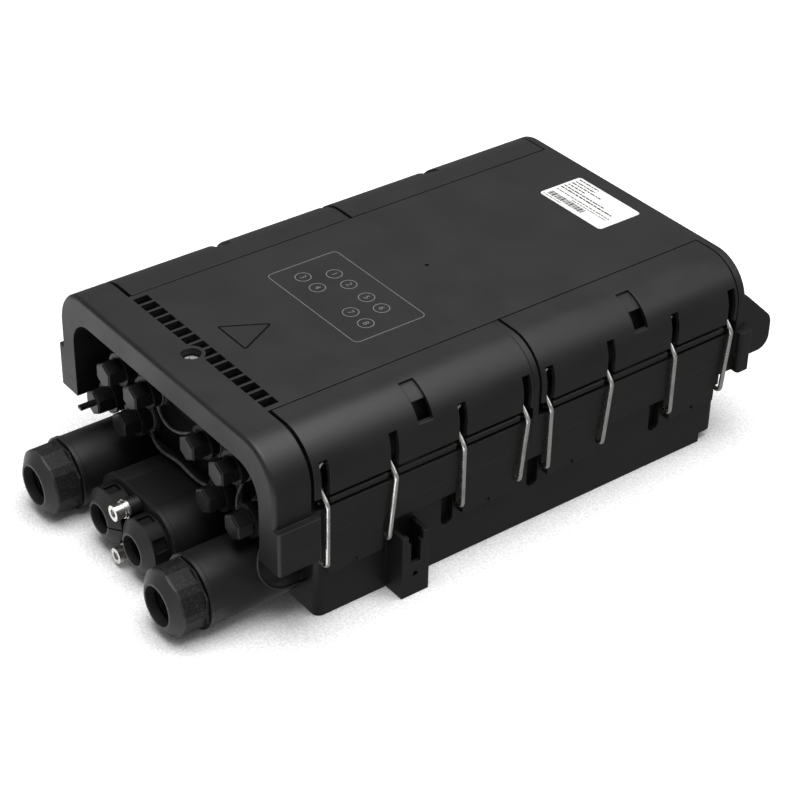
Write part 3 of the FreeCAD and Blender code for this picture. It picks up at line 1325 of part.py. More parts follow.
def make_port_seals_and_nuts():
    """Flat seals under the adapter flanges, and the nuts that hold the adapters behind the panel."""
    seals = []
    nuts = []
    for index, axis in ports.items():
        seals.append(ring(f"port_seal_{index}", s.adapter_flange - s.port_seal_inset,
                          s.neck_radius + s.running_gap, axis,
                          -s.panel_face - s.port_seal_height, -s.panel_face))
        block = doc.addObject("Part::Prism", f"adapter_nut_block_{index}")
        bind(block, "Circumradius", s.adapter_nut_flats / math.sqrt(3))
        bind(block, "Height", s.adapter_nut_height)
        place(block, axis[0], -s.flange_front, axis[1], ALONG["Y"])
        bore = entry_bar(f"adapter_nut_bore_{index}", s.neck_radius + s.fixed_gap, axis,
                         -s.flange_front - s.past, -s.flange_front + s.adapter_nut_height + s.past)
        nuts.append(cut(f"adapter_nut_{index}", block, [bore]))
    node("port_seals", fuse("port_seals", seals))
    node("adapter_nuts", fuse("adapter_nuts", nuts))


def ring_place(layer):
    """Front and back of a strap's ring on a neck: layer 0 lies on the flange, layer 1 before it."""
    flange_face = -s.panel_face - s.port_seal_height - s.adapter_flange_height
    back = flange_face - s.ring_gap - layer * (s.ring_height + s.ring_gap)
    return back - s.ring_height, back


def make_strap(name, rings, points):
    """A rubber strap along its route, with a ring round each port's neck that it is held by."""
    parts = [wire_item(f"{name}_strap", cord_path(name, points), s.strap_radius)]
    for port, layer in rings:
        start, end = ring_place(layer)
        parts.append(ring(f"{name}_ring_{port}", s.ring_outer, s.neck_radius + s.running_gap,
                          ports[port], start, end))
    node(name, fuse(name, parts))


def ring_exit(port, layer, degrees):
    """Where a strap leaves its ring, at an angle from +X towards +Z."""
    start, end = ring_place(layer)
    reach = s.ring_outer.value - s.ring_gap.value
    x, z = (size.value for size in ports[port])
    turn = math.radians(degrees)
    return (x + reach * math.cos(turn), (start.value + end.value) / 2, z + reach * math.sin(turn))


def make_straps():
    make_strap("strap_1", [(1, 0), (2, 0)], [
        ring_exit(1, 0, -45), (-49.0, -163.0, 78.0), (-42.5, -163.2, 79.5), ring_exit(2, 0, 200)])
    make_strap("strap_2", [(2, 1), (5, 0)], [
        ring_exit(2, 1, -75), (-26.5, -165.4, 75.0), (-16.0, -166.0, 71.0), (-3.0, -166.0, 74.0),
        (9.0, -164.0, 80.5), ring_exit(5, 0, 200)])
    make_strap("strap_3", [(4, 0), (7, 0)], [
        ring_exit(4, 0, -60), (-36.0, -165.5, 50.5), (-22.0, -167.0, 49.2), (-6.0, -166.8, 53.0),
        (8.0, -166.8, 51.0), (22.0, -166.0, 50.5), ring_exit(7, 0, 215)])
    make_strap("strap_4", [(5, 1), (6, 0)], [
        ring_exit(5, 1, -45), (43.0, -164.8, 78.0), (49.5, -164.0, 79.5), ring_exit(6, 0, 200)])
    make_strap("strap_5", [(6, 1), (8, 0)], [
        ring_exit(6, 1, -80), (61.0, -166.0, 73.5), (58.5, -167.5, 65.0), (60.0, -168.0, 56.0),
        (67.0, -167.0, 50.0), ring_exit(8, 0, -75)])


def make_loop():
    """The thin loop that hangs beside the hood's front leg and runs back under the flange."""
    points = [(94.0, -s.panel_face.value, 68.0), (94.0, -165.0, 68.0), (96.0, -173.0, 63.5),
              (97.4, -179.5, 54.0), (97.6, -180.0, 43.0), (97.8, -175.5, 32.0), (98.0, -167.5, 24.5),
              (98.0, -157.5, 22.0), (98.0, -s.base_front.value, 22.0)]
    node("tether_loop", wire_item("tether_loop", cord_path("tether_loop", points), s.loop_radius))


def make_cover_screw():
    """A pan-head screw with a cross recess, standing on the floor of the cover's recess."""
    seat = s.box_height - s.recess_depth
    head_height = s.cover_screw_head_height
    head = cylinder("cover_screw_head", "Z", s.cover_screw_head, (0, -s.screw_place, seat), head_height)
    boss_underside = s.arch_top - s.panel_gap - s.panel_boss_length
    length = seat - boss_underside - s.cover_screw_tip
    shank = cylinder("cover_screw_shank", "Z", s.cover_screw_shank,
                     (0, -s.screw_place, seat - length), length)
    arm = s.cross_length
    half = s.cross_width / 2
    top = (seat + head_height - s.cross_depth, seat + head_height + s.past)
    cross = [box("cross_arm_x", (-arm, arm), (-s.screw_place - half, -s.screw_place + half), top),
             box("cross_arm_y", (-half, half), (-s.screw_place - arm, -s.screw_place + arm), top)]
    node("cover_screw", cut("cover_screw", fuse("cover_screw_solid", [head, shank]), cross))


def make_tray(name, level):
    """A splice tray: a shallow open tray with a solid bar at its hinge end."""
    half = s.tray_width / 2
    corners = [(-half, -s.tray_front), (half, -s.tray_front), (half, s.tray_rear), (-half, s.tray_rear)]
    block = padded_body(f"{name}_block", "XY_Plane", corners, level, s.tray_height)
    room = box(f"{name}_room", (-half + s.tray_wall, half - s.tray_wall),
               (-s.tray_front + s.tray_bar, s.tray_rear - s.tray_wall),
               (level + s.tray_wall, level + s.tray_height + s.past))
    bore = cylinder(f"{name}_bore", "X", s.pin_radius + s.running_gap,
                    (-half - s.past, -s.pin_place, level + s.tray_height / 2), s.tray_width + 2 * s.past)
    node(name, cut(name, block, [room, bore]))


def make_inside():
    """Rim seal, splice trays on their bracket, splitter module and label."""
    node("rim_seal", fuse("rim_seal", rim_seal_bars("rim_seal_bar", as_size(0))))
    levels = (s.tray_level, s.tray_level + s.tray_pitch)
    make_tray("splice_tray_lower", levels[0])
    make_tray("splice_tray_upper", levels[1])
    half = s.tray_width / 2
    inner = half + s.ear_gap
    outer = inner + s.ear_wall
    ear_front = -s.pin_place - s.ear_length / 2
    ear_top = levels[1] + s.tray_height
    plate_top = s.base_floor + s.bracket_plate
    post_front = s.tray_rear - s.post_length
    parts = [box("bracket_plate", (-outer, outer), (ear_front, s.tray_rear), (s.base_floor, plate_top))]
    for side, sign in SIDES.items():
        parts.append(box(f"bracket_ear_{side}", (sign * inner, sign * outer),
                         (ear_front, ear_front + s.ear_length), (s.base_floor, ear_top)))
        parts.append(box(f"bracket_post_{side}", (sign * (half - s.post_width), sign * half),
                         (post_front, s.tray_rear), (s.base_floor, s.tray_level)))
    holes = []
    pins = []
    for index, level in enumerate(levels):
        start = (-outer, -s.pin_place, level + s.tray_height / 2)
        holes.append(cylinder(f"ear_hole_{index}", "X", s.pin_radius + s.fixed_gap, start, 2 * outer))
        pins.append(cylinder(f"tray_pin_{index}", "X", s.pin_radius, start, 2 * outer))
    node("tray_bracket", cut("tray_bracket", fuse("tray_bracket_solid", parts), holes))
    node("tray_pins", fuse("tray_pins", pins))
    half_splitter = s.splitter_width / 2
    splitter = padded_body("splitter_module", "XY_Plane", [
        (-half_splitter, s.splitter_front), (half_splitter, s.splitter_front),
        (half_splitter, s.splitter_rear), (-half_splitter, s.splitter_rear)], s.base_floor, s.splitter_height)
    node("splitter_module", splitter)
    corners = [(x, y, s.label_round) for x, y in (
        (-s.label_left, s.label_start), (s.label_right, s.label_start),
        (s.label_right, s.label_end), (-s.label_left, s.label_end))]
    node("label_plate", prism("label_plate", "Z", corners, s.box_height, s.box_height + s.label_height))


def make_all():
    make_base()
    make_cover()
    make_panel()
    for side, sign in SIDES.items():
        for row in levers:
            make_lever(side, sign, row)
        for index in range(len(bail_fronts)):
            make_bail(side, sign, index)
        make_gland(side, sign)
        make_collar(side, sign)
    make_clamp_screws()
    for index, axis in ports.items():
        make_port(index, axis)
    make_port_seals_and_nuts()
    make_straps()
    make_loop()
    make_cover_screw()
    make_inside()
    doc.recompute()


def write_nodes():
    """Check every object, then write one file for each sub-part."""
    for item in doc.Objects:
        if "Invalid" in item.State or "Error" in item.State:
            raise RuntimeError(f"{item.Name} failed: {item.State}")
    for name, item in nodes.items():
        if item.Shape.isNull() or not item.Shape.isValid() or item.Shape.Volume <= 0:
            raise RuntimeError(f"{name} has no valid solid")
    os.makedirs("parts", exist_ok=True)
    for name, item in nodes.items():
        item.Shape.exportStep(f"parts/{name}.step")
    print(len(nodes), "sub-parts written")


make_all()
write_nodes()
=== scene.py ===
import math

import bpy
from bpy.props import FloatProperty, FloatVectorProperty, PointerProperty
from bpy.types import Operator, Panel, PropertyGroup
from mathutils import Matrix, Vector


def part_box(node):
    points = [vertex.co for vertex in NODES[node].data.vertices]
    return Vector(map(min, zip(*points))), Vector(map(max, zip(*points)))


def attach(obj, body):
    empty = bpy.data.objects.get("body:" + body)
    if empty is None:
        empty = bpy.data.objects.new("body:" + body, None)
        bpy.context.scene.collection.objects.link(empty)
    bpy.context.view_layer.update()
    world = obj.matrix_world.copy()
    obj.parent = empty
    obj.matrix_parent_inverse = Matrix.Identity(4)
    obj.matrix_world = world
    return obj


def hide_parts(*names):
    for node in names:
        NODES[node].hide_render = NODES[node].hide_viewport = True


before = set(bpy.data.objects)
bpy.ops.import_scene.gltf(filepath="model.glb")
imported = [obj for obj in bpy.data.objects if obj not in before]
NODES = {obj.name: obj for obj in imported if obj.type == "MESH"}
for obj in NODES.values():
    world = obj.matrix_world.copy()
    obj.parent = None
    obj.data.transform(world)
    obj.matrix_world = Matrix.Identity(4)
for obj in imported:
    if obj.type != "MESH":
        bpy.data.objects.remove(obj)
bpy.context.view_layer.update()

bl_info = {
    "name": "Fibre hub box looks",
    "version": (1, 0, 0),
    "blender": (4, 5, 0),
    "location": "3D View > Sidebar > Hub box",
    "description": "Finishes, rubber straps, print and a plain studio for a fibre distribution hub box",
    "category": "Object",
}

COVER_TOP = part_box("latch_lever_right_front")[1].z
LABEL_LOW, LABEL_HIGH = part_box("label_plate")
# Port axes, across and up
PORTS = {
    1: (-0.061, 0.0895), 2: (-0.031, 0.0895), 3: (-0.076, 0.0615), 4: (-0.046, 0.0615),
    5: (0.031, 0.0895), 6: (0.061, 0.0895), 7: (0.046, 0.0615), 8: (0.076, 0.0615),
}
# Where the one or two rings on a port's neck lie along the box
RING_LAYERS = (-0.1626, -0.1650)
RING_EASE = 0.0005
LOOP_ROUTE = (
    (0.094, -0.158, 0.068), (0.094, -0.165, 0.068), (0.096, -0.173, 0.0635),
    (0.0974, -0.1795, 0.054), (0.0976, -0.180, 0.043), (0.0978, -0.1755, 0.032),
    (0.098, -0.1675, 0.0245), (0.098, -0.1575, 0.022), (0.098, -0.147, 0.022),
)
# Print on the cover: the numbers' circles, the plate round them and the triangle
NUMBER_PLACES = {
    1: (-0.024, -0.040), 2: (-0.009, -0.040), 5: (0.009, -0.040), 6: (0.024, -0.040),
    3: (-0.032, -0.0575), 4: (-0.017, -0.0575), 7: (0.017, -0.0575), 8: (0.032, -0.0575),
}
PLATE_CORNERS = ((-0.046, -0.0748), (0.046, -0.0748), (0.046, -0.0233), (-0.046, -0.0233))
TRIANGLE_CORNERS = ((-0.015, -0.130), (0.014, -0.130), (0.0, -0.103))
TRIANGLE_ROUND = 0.0008
CIRCLE_EASE = 0.00002
# Lines of print on the label: place across, start, end and height, as shares of the label
LABEL_LINES = (
    (0.93, 0.04, 0.36, 0.030), (0.83, 0.05, 0.36, 0.030), (0.75, 0.04, 0.51, 0.030),
    (0.66, 0.04, 0.31, 0.030), (0.57, 0.03, 0.70, 0.030), (0.49, 0.03, 0.87, 0.034),
    (0.37, 0.04, 0.90, 0.022), (0.30, 0.34, 0.90, 0.016), (0.06, 0.03, 0.33, 0.016),
)
LABEL_WORDS = (0.055, 0.035, 0.075, 0.028, 0.048)
LABEL_WORD_GAP = 0.012
# Upright bars on the label, as shares of it
BAR_WIDTHS = (0.010, 0.018, 0.008, 0.022, 0.008, 0.014) * 4
BARS_START, BARS_PITCH = 0.06, 0.0235
BARS_PLACE, BARS_HEIGHT = 0.18, 0.14
# Finish, length of the nose and strength of the grain's glint
GLAND_FINISHES = {
    "gland_nut_": ("Gland nylon", 0.006, 0.6),
    "cable_collar_": ("Collar nylon", 0.005, 0.1),
}
# Sizes of the patterns in the finishes
FLOW_SIZE = 0.035
# Size of the patches of wear and painted highlight along the edges
RUB_AND_HIGHLIGHT_SIZE = 0.006
STAIN_SIZE = 0.008
SCRATCH_SIZE, SCRATCH_DEPTH = 0.0004, 0.00001
SCRATCH_STRETCH = (1.0, 1.0, 0.08)
BLOOM_SIZE = 0.004
RUBBER_GRAIN, RUBBER_DEPTH = 0.0005, 0.00002
INK_PATCH = 0.0015
INK_GRAIN, INK_DEPTH = 0.0004, 0.000008
NYLON_GRAIN, NYLON_DEPTH, NYLON_EDGE = 0.0009, 0.00004, 0.0005
NOSE_BLEND = 0.0002
PORT_GRAIN, TRAY_GRAIN, MODULE_GRAIN = 0.0005, 0.0008, 0.0006
SMOOTH = {"depth": 0.00001, "edge": 0.0004}
LEVER_SMOOTHER, BLACK_ROUGHER, DULL_ROUGHER = 0.03, 0.15, 0.25
# Sheets of the stage: near left corner, far right corner, height, and whether the box mirrors it
STAGE_SHEETS = {
    "floor": ((-8.0, -8.0), (8.0, 8.0), -0.0003, False),
    "front_card": ((-1.2, -1.4), (0.9, -0.19), -0.0002, True),
}
# Square lights: place and size
LIGHTS = {
    "overhead": ((0.2, 0.0, 2.4), 2.2),
    "back": ((-1.045, 0.808, 0.964), 1.4),
    "edge": ((0.904, 0.808, 1.105), 0.7),
}
LIGHTS_AIM = Vector((0, 0, 0.06))
# The camera's own axes
CAMERA_RIGHT = (0.6026, 0.7978, 0.01743)
CAMERA_UP = (-0.4593, 0.3289, 0.8251)
CAMERA_BACK = (0.6526, -0.5053, 0.5647)
SENSOR_WIDTH = 36.0


def colour(name, description, value):
    return FloatVectorProperty(name=name, description=description, subtype="COLOR", size=3,
                               min=0.0, max=1.0, default=value)


def length(name, description, value):
    return FloatProperty(name=name, description=description, subtype="DISTANCE", unit="LENGTH",
                         min=0.0, precision=5, default=value)


def share(name, description, value):
    return FloatProperty(name=name, description=description, subtype="FACTOR", min=0.0, max=1.0,
                         default=value)


def power(name, description, value):
    return FloatProperty(name=name, description=description, unit="POWER", min=0.0, default=value)


class HubPlastic(PropertyGroup):
    shell: colour("Shell", "Moulded plastic of the base and cover", (0.0055, 0.0055, 0.0058))
    # Panel: darker than the shell as painted shade under the hood.
    panel: colour("Panel", "Moulded plastic of the port panel under the hood", (0.0030, 0.0030, 0.0032))
    lever: colour("Lever", "Moulded plastic of the latch levers", (0.0055, 0.0055, 0.0058))
    gland: colour("Gland", "Nylon of the gland nuts and cable collars", (0.0045, 0.0045, 0.0048))
    nose: colour("Nose", "Smoother nylon at the front of the nuts and collars", (0.026, 0.026, 0.027))
    port: colour("Port", "Plastic of the adapters, caps and their nuts", (0.0080, 0.0080, 0.0084))
    # Paler edge colour: partly wear, partly a painted highlight along the edges.
    worn: colour("Worn edge", "Paler plastic where edges are rubbed", (0.018, 0.018, 0.0185))
    # Glint: painted glints of the grain on the grips, and the wear and painted highlight along their edges.
    glint: colour("Glint", "Pale grain and rubbed edges of the nuts and collars", (0.045, 0.045, 0.046))
    tray: colour("Tray", "Plastic of the splice trays and their bracket", (0.42, 0.43, 0.43))
    module: colour("Module", "Plastic of the splitter module", (0.30, 0.31, 0.33))
    roughness: share("Roughness", "Roughness of the moulded shell", 0.46)
    grain: length("Grain", "Size of the shell's spark grain", 0.0006)
    depth: length("Grain depth", "Depth of the shell's spark grain", 0.00002)
    edge: length("Edge round", "Rounding that the light finds on the moulded edges", 0.0007)


class HubMetal(PropertyGroup):
    steel: colour("Steel", "Stainless wire, clamp screws and washers", (0.76, 0.75, 0.73))
    dull: colour("Dull steel", "Duller steel of the cover's screw", (0.46, 0.455, 0.45))
    stained: colour("Stain", "Darker film on the steel", (0.42, 0.41, 0.40))
    black: colour("Blackened", "Blackened steel of the hinge rods", (0.030, 0.029, 0.028))
    roughness: share("Roughness", "Roughness of the drawn wire", 0.24)


class HubRubber(PropertyGroup):
    rubber: colour("Rubber", "Seals in the cable entries, under the ports and round the rim",
                   (0.012, 0.012, 0.0125))
    loop: colour("Loop", "Loop beside the hood, a black rubber", (0.0040, 0.0040, 0.0042))
    strap: colour("Strap", "Straps of the port caps, a paler rubber", (0.060, 0.060, 0.061))
    strap_radius: length("Strap radius", "Radius of a strap", 0.00105)
    loop_radius: length("Loop radius", "Radius of the loop beside the hood", 0.0009)
    ring_outer: length("Ring outer", "Outer radius of a strap's ring", 0.0104)
    ring_inner: length("Ring inner", "Inner radius of a strap's ring", 0.00806)
    ring_height: length("Ring height", "Thickness of a strap's ring", 0.0022)
    ring_reach: length("Ring reach", "Neck axis to where a strap leaves its ring", 0.0102)


class HubPrint(PropertyGroup):
    light: colour("Light print", "Pale ink of the number plate", (0.125, 0.125, 0.125))
    groove: colour("Dark print", "Dark ink of the triangle", (0.0015, 0.0015, 0.0015))
    # Groove: the triangle's near-black line is painted shade of its groove.
    film: colour("Label film", "White film of the label", (0.70, 0.70, 0.69))
    ink: colour("Label ink", "Dark ink on the label", (0.030, 0.030, 0.032))
    line: length("Line", "Width of the number plate's lines", 0.0006)
    heavy: length("Heavy line", "Width of the triangle's line", 0.0011)
    height: length("Print height", "Thickness of the print", 0.00008)
    corner: length("Plate corner", "Corner radius of the number plate", 0.0035)
    circle: length("Circle", "Radius of a number's circle", 0.0049)
    digit: length("Digit", "Height of a number", 0.0058)


class HubStage(PropertyGroup):
    floor: colour("Floor", "Pale floor", (0.92, 0.92, 0.92))
    sky: share("Sky", "Strength of the even white light", 0.27)
    overhead: power("Overhead", "Power of the large light above", 90.0)
    back: power("Back", "Power of the light behind, which the top mirrors", 0.8)
    edge: power("Edge", "Power of the small light that the levers' long edges mirror", 3.0)
    lens: FloatProperty(name="Lens", description="Focal length in millimetres", default=98.2)
    camera: FloatVectorProperty(name="Camera", description="Camera position", subtype="TRANSLATION",
                                unit="LENGTH", default=(0.8987, -0.7020, 0.8133))


# Materials

def start_material(name):
    """A material with one principled shader and its output."""
    material = bpy.data.materials.new(name)
    material.use_nodes = True
    tree = material.node_tree
    tree.nodes.clear()
    shader = tree.nodes.new("ShaderNodeBsdfPrincipled")
    output = tree.nodes.new("ShaderNodeOutputMaterial")
    tree.links.new(shader.outputs["BSDF"], output.inputs["Surface"])
    return material, tree, shader


def noise(tree, size, detail=2.0, stretch=(1.0, 1.0, 1.0)):
    """Noise on the piece's own coordinates, with blotches about size across."""
    place = tree.nodes.new("ShaderNodeTexCoord")
    mapping = tree.nodes.new("ShaderNodeMapping")
    mapping.inputs["Scale"].default_value = [part / size for part in stretch]
    texture = tree.nodes.new("ShaderNodeTexNoise")
    texture.inputs["Scale"].default_value = 1.0
    texture.inputs["Detail"].default_value = detail
    tree.links.new(place.outputs["Object"], mapping.inputs["Vector"])
    tree.links.new(mapping.outputs["Vector"], texture.inputs["Vector"])
    return texture.outputs["Fac"]


def spread(tree, value, start, end, low=0.35, high=0.65):
    """A value from start to end as the input goes from low to high."""
    ranged = tree.nodes.new("ShaderNodeMapRange")
    for socket, number in (("From Min", low), ("From Max", high), ("To Min", start), ("To Max", end)):
        ranged.inputs[socket].default_value = number
    tree.links.new(value, ranged.inputs["Value"])
    return ranged.outputs["Result"]


def tint(tree, value, first, second):
    """A colour from first to second as the value goes from 0 to 1; first may be a socket."""
    mix = tree.nodes.new("ShaderNodeMix")
    mix.data_type = "RGBA"
    tree.links.new(value, mix.inputs["Factor"])
    if isinstance(first, bpy.types.NodeSocket):
        tree.links.new(first, mix.inputs["A"])
    else:
        mix.inputs["A"].default_value = (*first, 1.0)
    mix.inputs["B"].default_value = (*second, 1.0)
    return mix.outputs["Result"]


def paler(value, times):
    return [part * times for part in value]


def both(tree, one, other):
    """Two values multiplied."""
    product = tree.nodes.new("ShaderNodeMath")
    product.operation = "MULTIPLY"
    tree.links.new(one, product.inputs[0])
    tree.links.new(other, product.inputs[1])
    return product.outputs["Value"]


def edges(tree, radius):
    """The rounded normal, and 1 along sharp edges falling to 0 on open faces."""
    bevel = tree.nodes.new("ShaderNodeBevel")
    bevel.samples = 4
    bevel.inputs["Radius"].default_value = radius
    face = tree.nodes.new("ShaderNodeNewGeometry")
    alike = tree.nodes.new("ShaderNodeVectorMath")
    alike.operation = "DOT_PRODUCT"
    tree.links.new(bevel.outputs["Normal"], alike.inputs[0])
    tree.links.new(face.outputs["Normal"], alike.inputs[1])
    return bevel.outputs["Normal"], spread(tree, alike.outputs["Value"], 1.0, 0.0, 0.80, 0.99)


def relief(tree, height, depth, normal=None):
    """A bump of that depth."""
    bump = tree.nodes.new("ShaderNodeBump")
    bump.inputs["Strength"].default_value = 1.0
    bump.inputs["Distance"].default_value = depth
    tree.links.new(height, bump.inputs["Height"])
    if normal is not None:
        tree.links.new(normal, bump.inputs["Normal"])
    return bump.outputs["Normal"]


def rubbed(tree, rim):
    """Uneven wear along the edges, which also paints a highlight on them."""
    return both(tree, rim, spread(tree, noise(tree, RUB_AND_HIGHLIGHT_SIZE, detail=5.0), 0.15, 0.75, low=0.42, high=0.66))


def moulded(name, base, worn, roughness, grain, depth, edge, shine=0.4):
    """Moulded plastic: spark grain, slow flow shading, and paler edges that are partly wear and partly a
    painted highlight.
    """
    material, tree, shader = start_material(name)
    rounded, rim = edges(tree, edge)
    flow = noise(tree, FLOW_SIZE, detail=4.0)
    shade = tint(tree, spread(tree, flow, 0.0, 1.0), base, paler(base, 1.35))
    # Edges paler: wear and a painted highlight.
    tree.links.new(tint(tree, rubbed(tree, rim), shade, worn), shader.inputs["Base Color"])
    tree.links.new(spread(tree, flow, roughness - 0.04, roughness + 0.05), shader.inputs["Roughness"])
    tree.links.new(relief(tree, noise(tree, grain), depth, rounded), shader.inputs["Normal"])
    shader.inputs["Specular IOR Level"].default_value = shine
    return material


def grainy_nylon(name, base, nose, glint, front, strength):
    """Nylon with a sparkling grain on its grip, and a smoother, paler nose as far as front along the box."""
    material, tree, shader = start_material(name)
    rounded, rim = edges(tree, NYLON_EDGE)
    place = tree.nodes.new("ShaderNodeTexCoord")
    axes = tree.nodes.new("ShaderNodeSeparateXYZ")
    tree.links.new(place.outputs["Object"], axes.inputs["Vector"])
    grip = spread(tree, axes.outputs["Y"], 0.0, 1.0, low=front - NOSE_BLEND, high=front + NOSE_BLEND)
    grain = noise(tree, NYLON_GRAIN, detail=3.0)
    # The pale specks on the grip are painted glints of the grain.
    sparkle = both(tree, grip, spread(tree, grain, 0.0, strength, low=0.52, high=0.70))
    speckled = tint(tree, sparkle, tint(tree, grip, nose, base), glint)
    # Edges paler: wear and a painted highlight.
    tree.links.new(tint(tree, rubbed(tree, rim), speckled, glint), shader.inputs["Base Color"])
    tree.links.new(spread(tree, grip, 0.40, 0.56, low=0.0, high=1.0), shader.inputs["Roughness"])
    tree.links.new(relief(tree, grain, NYLON_DEPTH, rounded), shader.inputs["Normal"])
    shader.inputs["Specular IOR Level"].default_value = 0.2
    return material


def drawn_steel(name, bright, stained, roughness):
    """Drawn steel with a faint stain and fine scratches."""
    material, tree, shader = start_material(name)
    stain = noise(tree, STAIN_SIZE, detail=5.0)
    tree.links.new(tint(tree, spread(tree, stain, 0.0, 0.7, low=0.5, high=0.75), bright, stained),
                   shader.inputs["Base Color"])
    tree.links.new(spread(tree, stain, roughness - 0.06, roughness + 0.12), shader.inputs["Roughness"])
    scratches = noise(tree, SCRATCH_SIZE, detail=3.0, stretch=SCRATCH_STRETCH)
    tree.links.new(relief(tree, scratches, SCRATCH_DEPTH), shader.inputs["Normal"])
    shader.inputs["Metallic"].default_value = 1.0
    return material


def soft_rubber(name, base, shine=0.5):
    """Moulded rubber with a faint bloom and a soft sheen."""
    material, tree, shader = start_material(name)
    bloom = noise(tree, BLOOM_SIZE, detail=5.0)
    tree.links.new(tint(tree, spread(tree, bloom, 0.0, 1.0, low=0.45, high=0.75), base, paler(base, 2.2)),
                   shader.inputs["Base Color"])
    tree.links.new(spread(tree, bloom, 0.34, 0.52), shader.inputs["Roughness"])
    tree.links.new(relief(tree, noise(tree, RUBBER_GRAIN), RUBBER_DEPTH), shader.inputs["Normal"])
    shader.inputs["Specular IOR Level"].default_value = shine
    return material


def printed(name, ink, roughness, shine=0.5):
    """Ink that is a little uneven."""
    material, tree, shader = start_material(name)
    patch = noise(tree, INK_PATCH, detail=4.0)
    tree.links.new(tint(tree, spread(tree, patch, 0.0, 1.0), paler(ink, 0.85), paler(ink, 1.1)),
                   shader.inputs["Base Color"])
    tree.links.new(spread(tree, patch, roughness - 0.05, roughness + 0.08), shader.inputs["Roughness"])
    tree.links.new(relief(tree, noise(tree, INK_GRAIN), INK_DEPTH), shader.inputs["Normal"])
    shader.inputs["Specular IOR Level"].default_value = shine
    return material


# Pieces

def dress(material, *names):
    """Give CAD nodes their finish."""
    for name in names:
        slots = NODES[name].data.materials
        slots.clear()
        slots.append(material)


def like(start):
    """The CAD nodes whose names begin so."""
    found = sorted(name for name in NODES if name.startswith(start))
    if not found:
        raise RuntimeError(f"the packed model has no node that begins with {start}")
    return found


def new_piece(name, data, material=None):
    """An object in the scene for a mesh, a curve or a text."""
    piece = bpy.data.objects.new(name, data)
    bpy.context.scene.collection.objects.link(piece)
    if material is not None:
        data.materials.append(material)
    return piece


def points_mesh(name, points, chains=()):
    mesh = bpy.data.meshes.new(name)
    mesh.from_pydata(points, chains, [])
    return mesh


def keep(piece):
    """The piece rides on the box."""
    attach(piece, "box")
    return piece


def new_tree(name, *sizes):
    """An empty geometry tree with a geometry input, named sizes and a material."""
    tree = bpy.data.node_groups.new(name, "GeometryNodeTree")
    tree.interface.new_socket("Geometry", in_out="INPUT", socket_type="NodeSocketGeometry")
    for size in sizes:
        tree.interface.new_socket(size, in_out="INPUT", socket_type="NodeSocketFloat")
    tree.interface.new_socket("Finish", in_out="INPUT", socket_type="NodeSocketMaterial")
    tree.interface.new_socket("Geometry", in_out="OUTPUT", socket_type="NodeSocketGeometry")
    return tree, tree.nodes.new("NodeGroupInput"), tree.nodes.new("NodeGroupOutput")


def close_tree(tree, start, end, shape):
    """Realise the instances and set the finish."""
    real = tree.nodes.new("GeometryNodeRealizeInstances")
    finish = tree.nodes.new("GeometryNodeSetMaterial")
    tree.links.new(shape, real.inputs["Geometry"])
    tree.links.new(real.outputs["Geometry"], finish.inputs["Geometry"])
    tree.links.new(start.outputs["Finish"], finish.inputs["Material"])
    tree.links.new(finish.outputs["Geometry"], end.inputs["Geometry"])


def grown(name, mesh, tree, sizes, material):
    """The plain mesh that a tree makes from a mesh."""
    source = new_piece(f"{name}_source", mesh)
    modifier = source.modifiers.new("Nodes", "NODES")
    modifier.node_group = tree
    values = dict(sizes, Finish=material)
    for socket in tree.interface.items_tree:
        if socket.in_out == "INPUT" and socket.name in values:
            modifier[socket.identifier] = values[socket.name]
    graph = bpy.context.evaluated_depsgraph_get()
    made = bpy.data.meshes.new_from_object(source.evaluated_get(graph), depsgraph=graph)
    source.modifiers.remove(modifier)
    bpy.data.objects.remove(source)
    if not made.polygons:
        raise RuntimeError(f"the tree for {name} made nothing")
    made.name = name
    return new_piece(name, made)


def printed_line_tree():
    """A flat line of ink along the mesh's edges, with rounded corners."""
    tree, start, end = new_tree("Printed line", "Width", "Height", "Corner")
    path = tree.nodes.new("GeometryNodeMeshToCurve")
    corners = tree.nodes.new("GeometryNodeFilletCurve")
    corners.mode = "POLY"
    corners.inputs["Count"].default_value = 8
    upright = tree.nodes.new("GeometryNodeSetCurveNormal")
    upright.mode = "Z_UP"
    profile = tree.nodes.new("GeometryNodeCurvePrimitiveQuadrilateral")
    swept = tree.nodes.new("GeometryNodeCurveToMesh")
    tree.links.new(start.outputs["Geometry"], path.inputs["Mesh"])
    tree.links.new(path.outputs["Curve"], corners.inputs["Curve"])
    tree.links.new(start.outputs["Corner"], corners.inputs["Radius"])
    tree.links.new(corners.outputs["Curve"], upright.inputs["Curve"])
    tree.links.new(start.outputs["Width"], profile.inputs["Width"])
    tree.links.new(start.outputs["Height"], profile.inputs["Height"])
    tree.links.new(upright.outputs["Curve"], swept.inputs["Curve"])
    tree.links.new(profile.outputs["Curve"], swept.inputs["Profile Curve"])
    close_tree(tree, start, end, swept.outputs["Mesh"])
    return tree


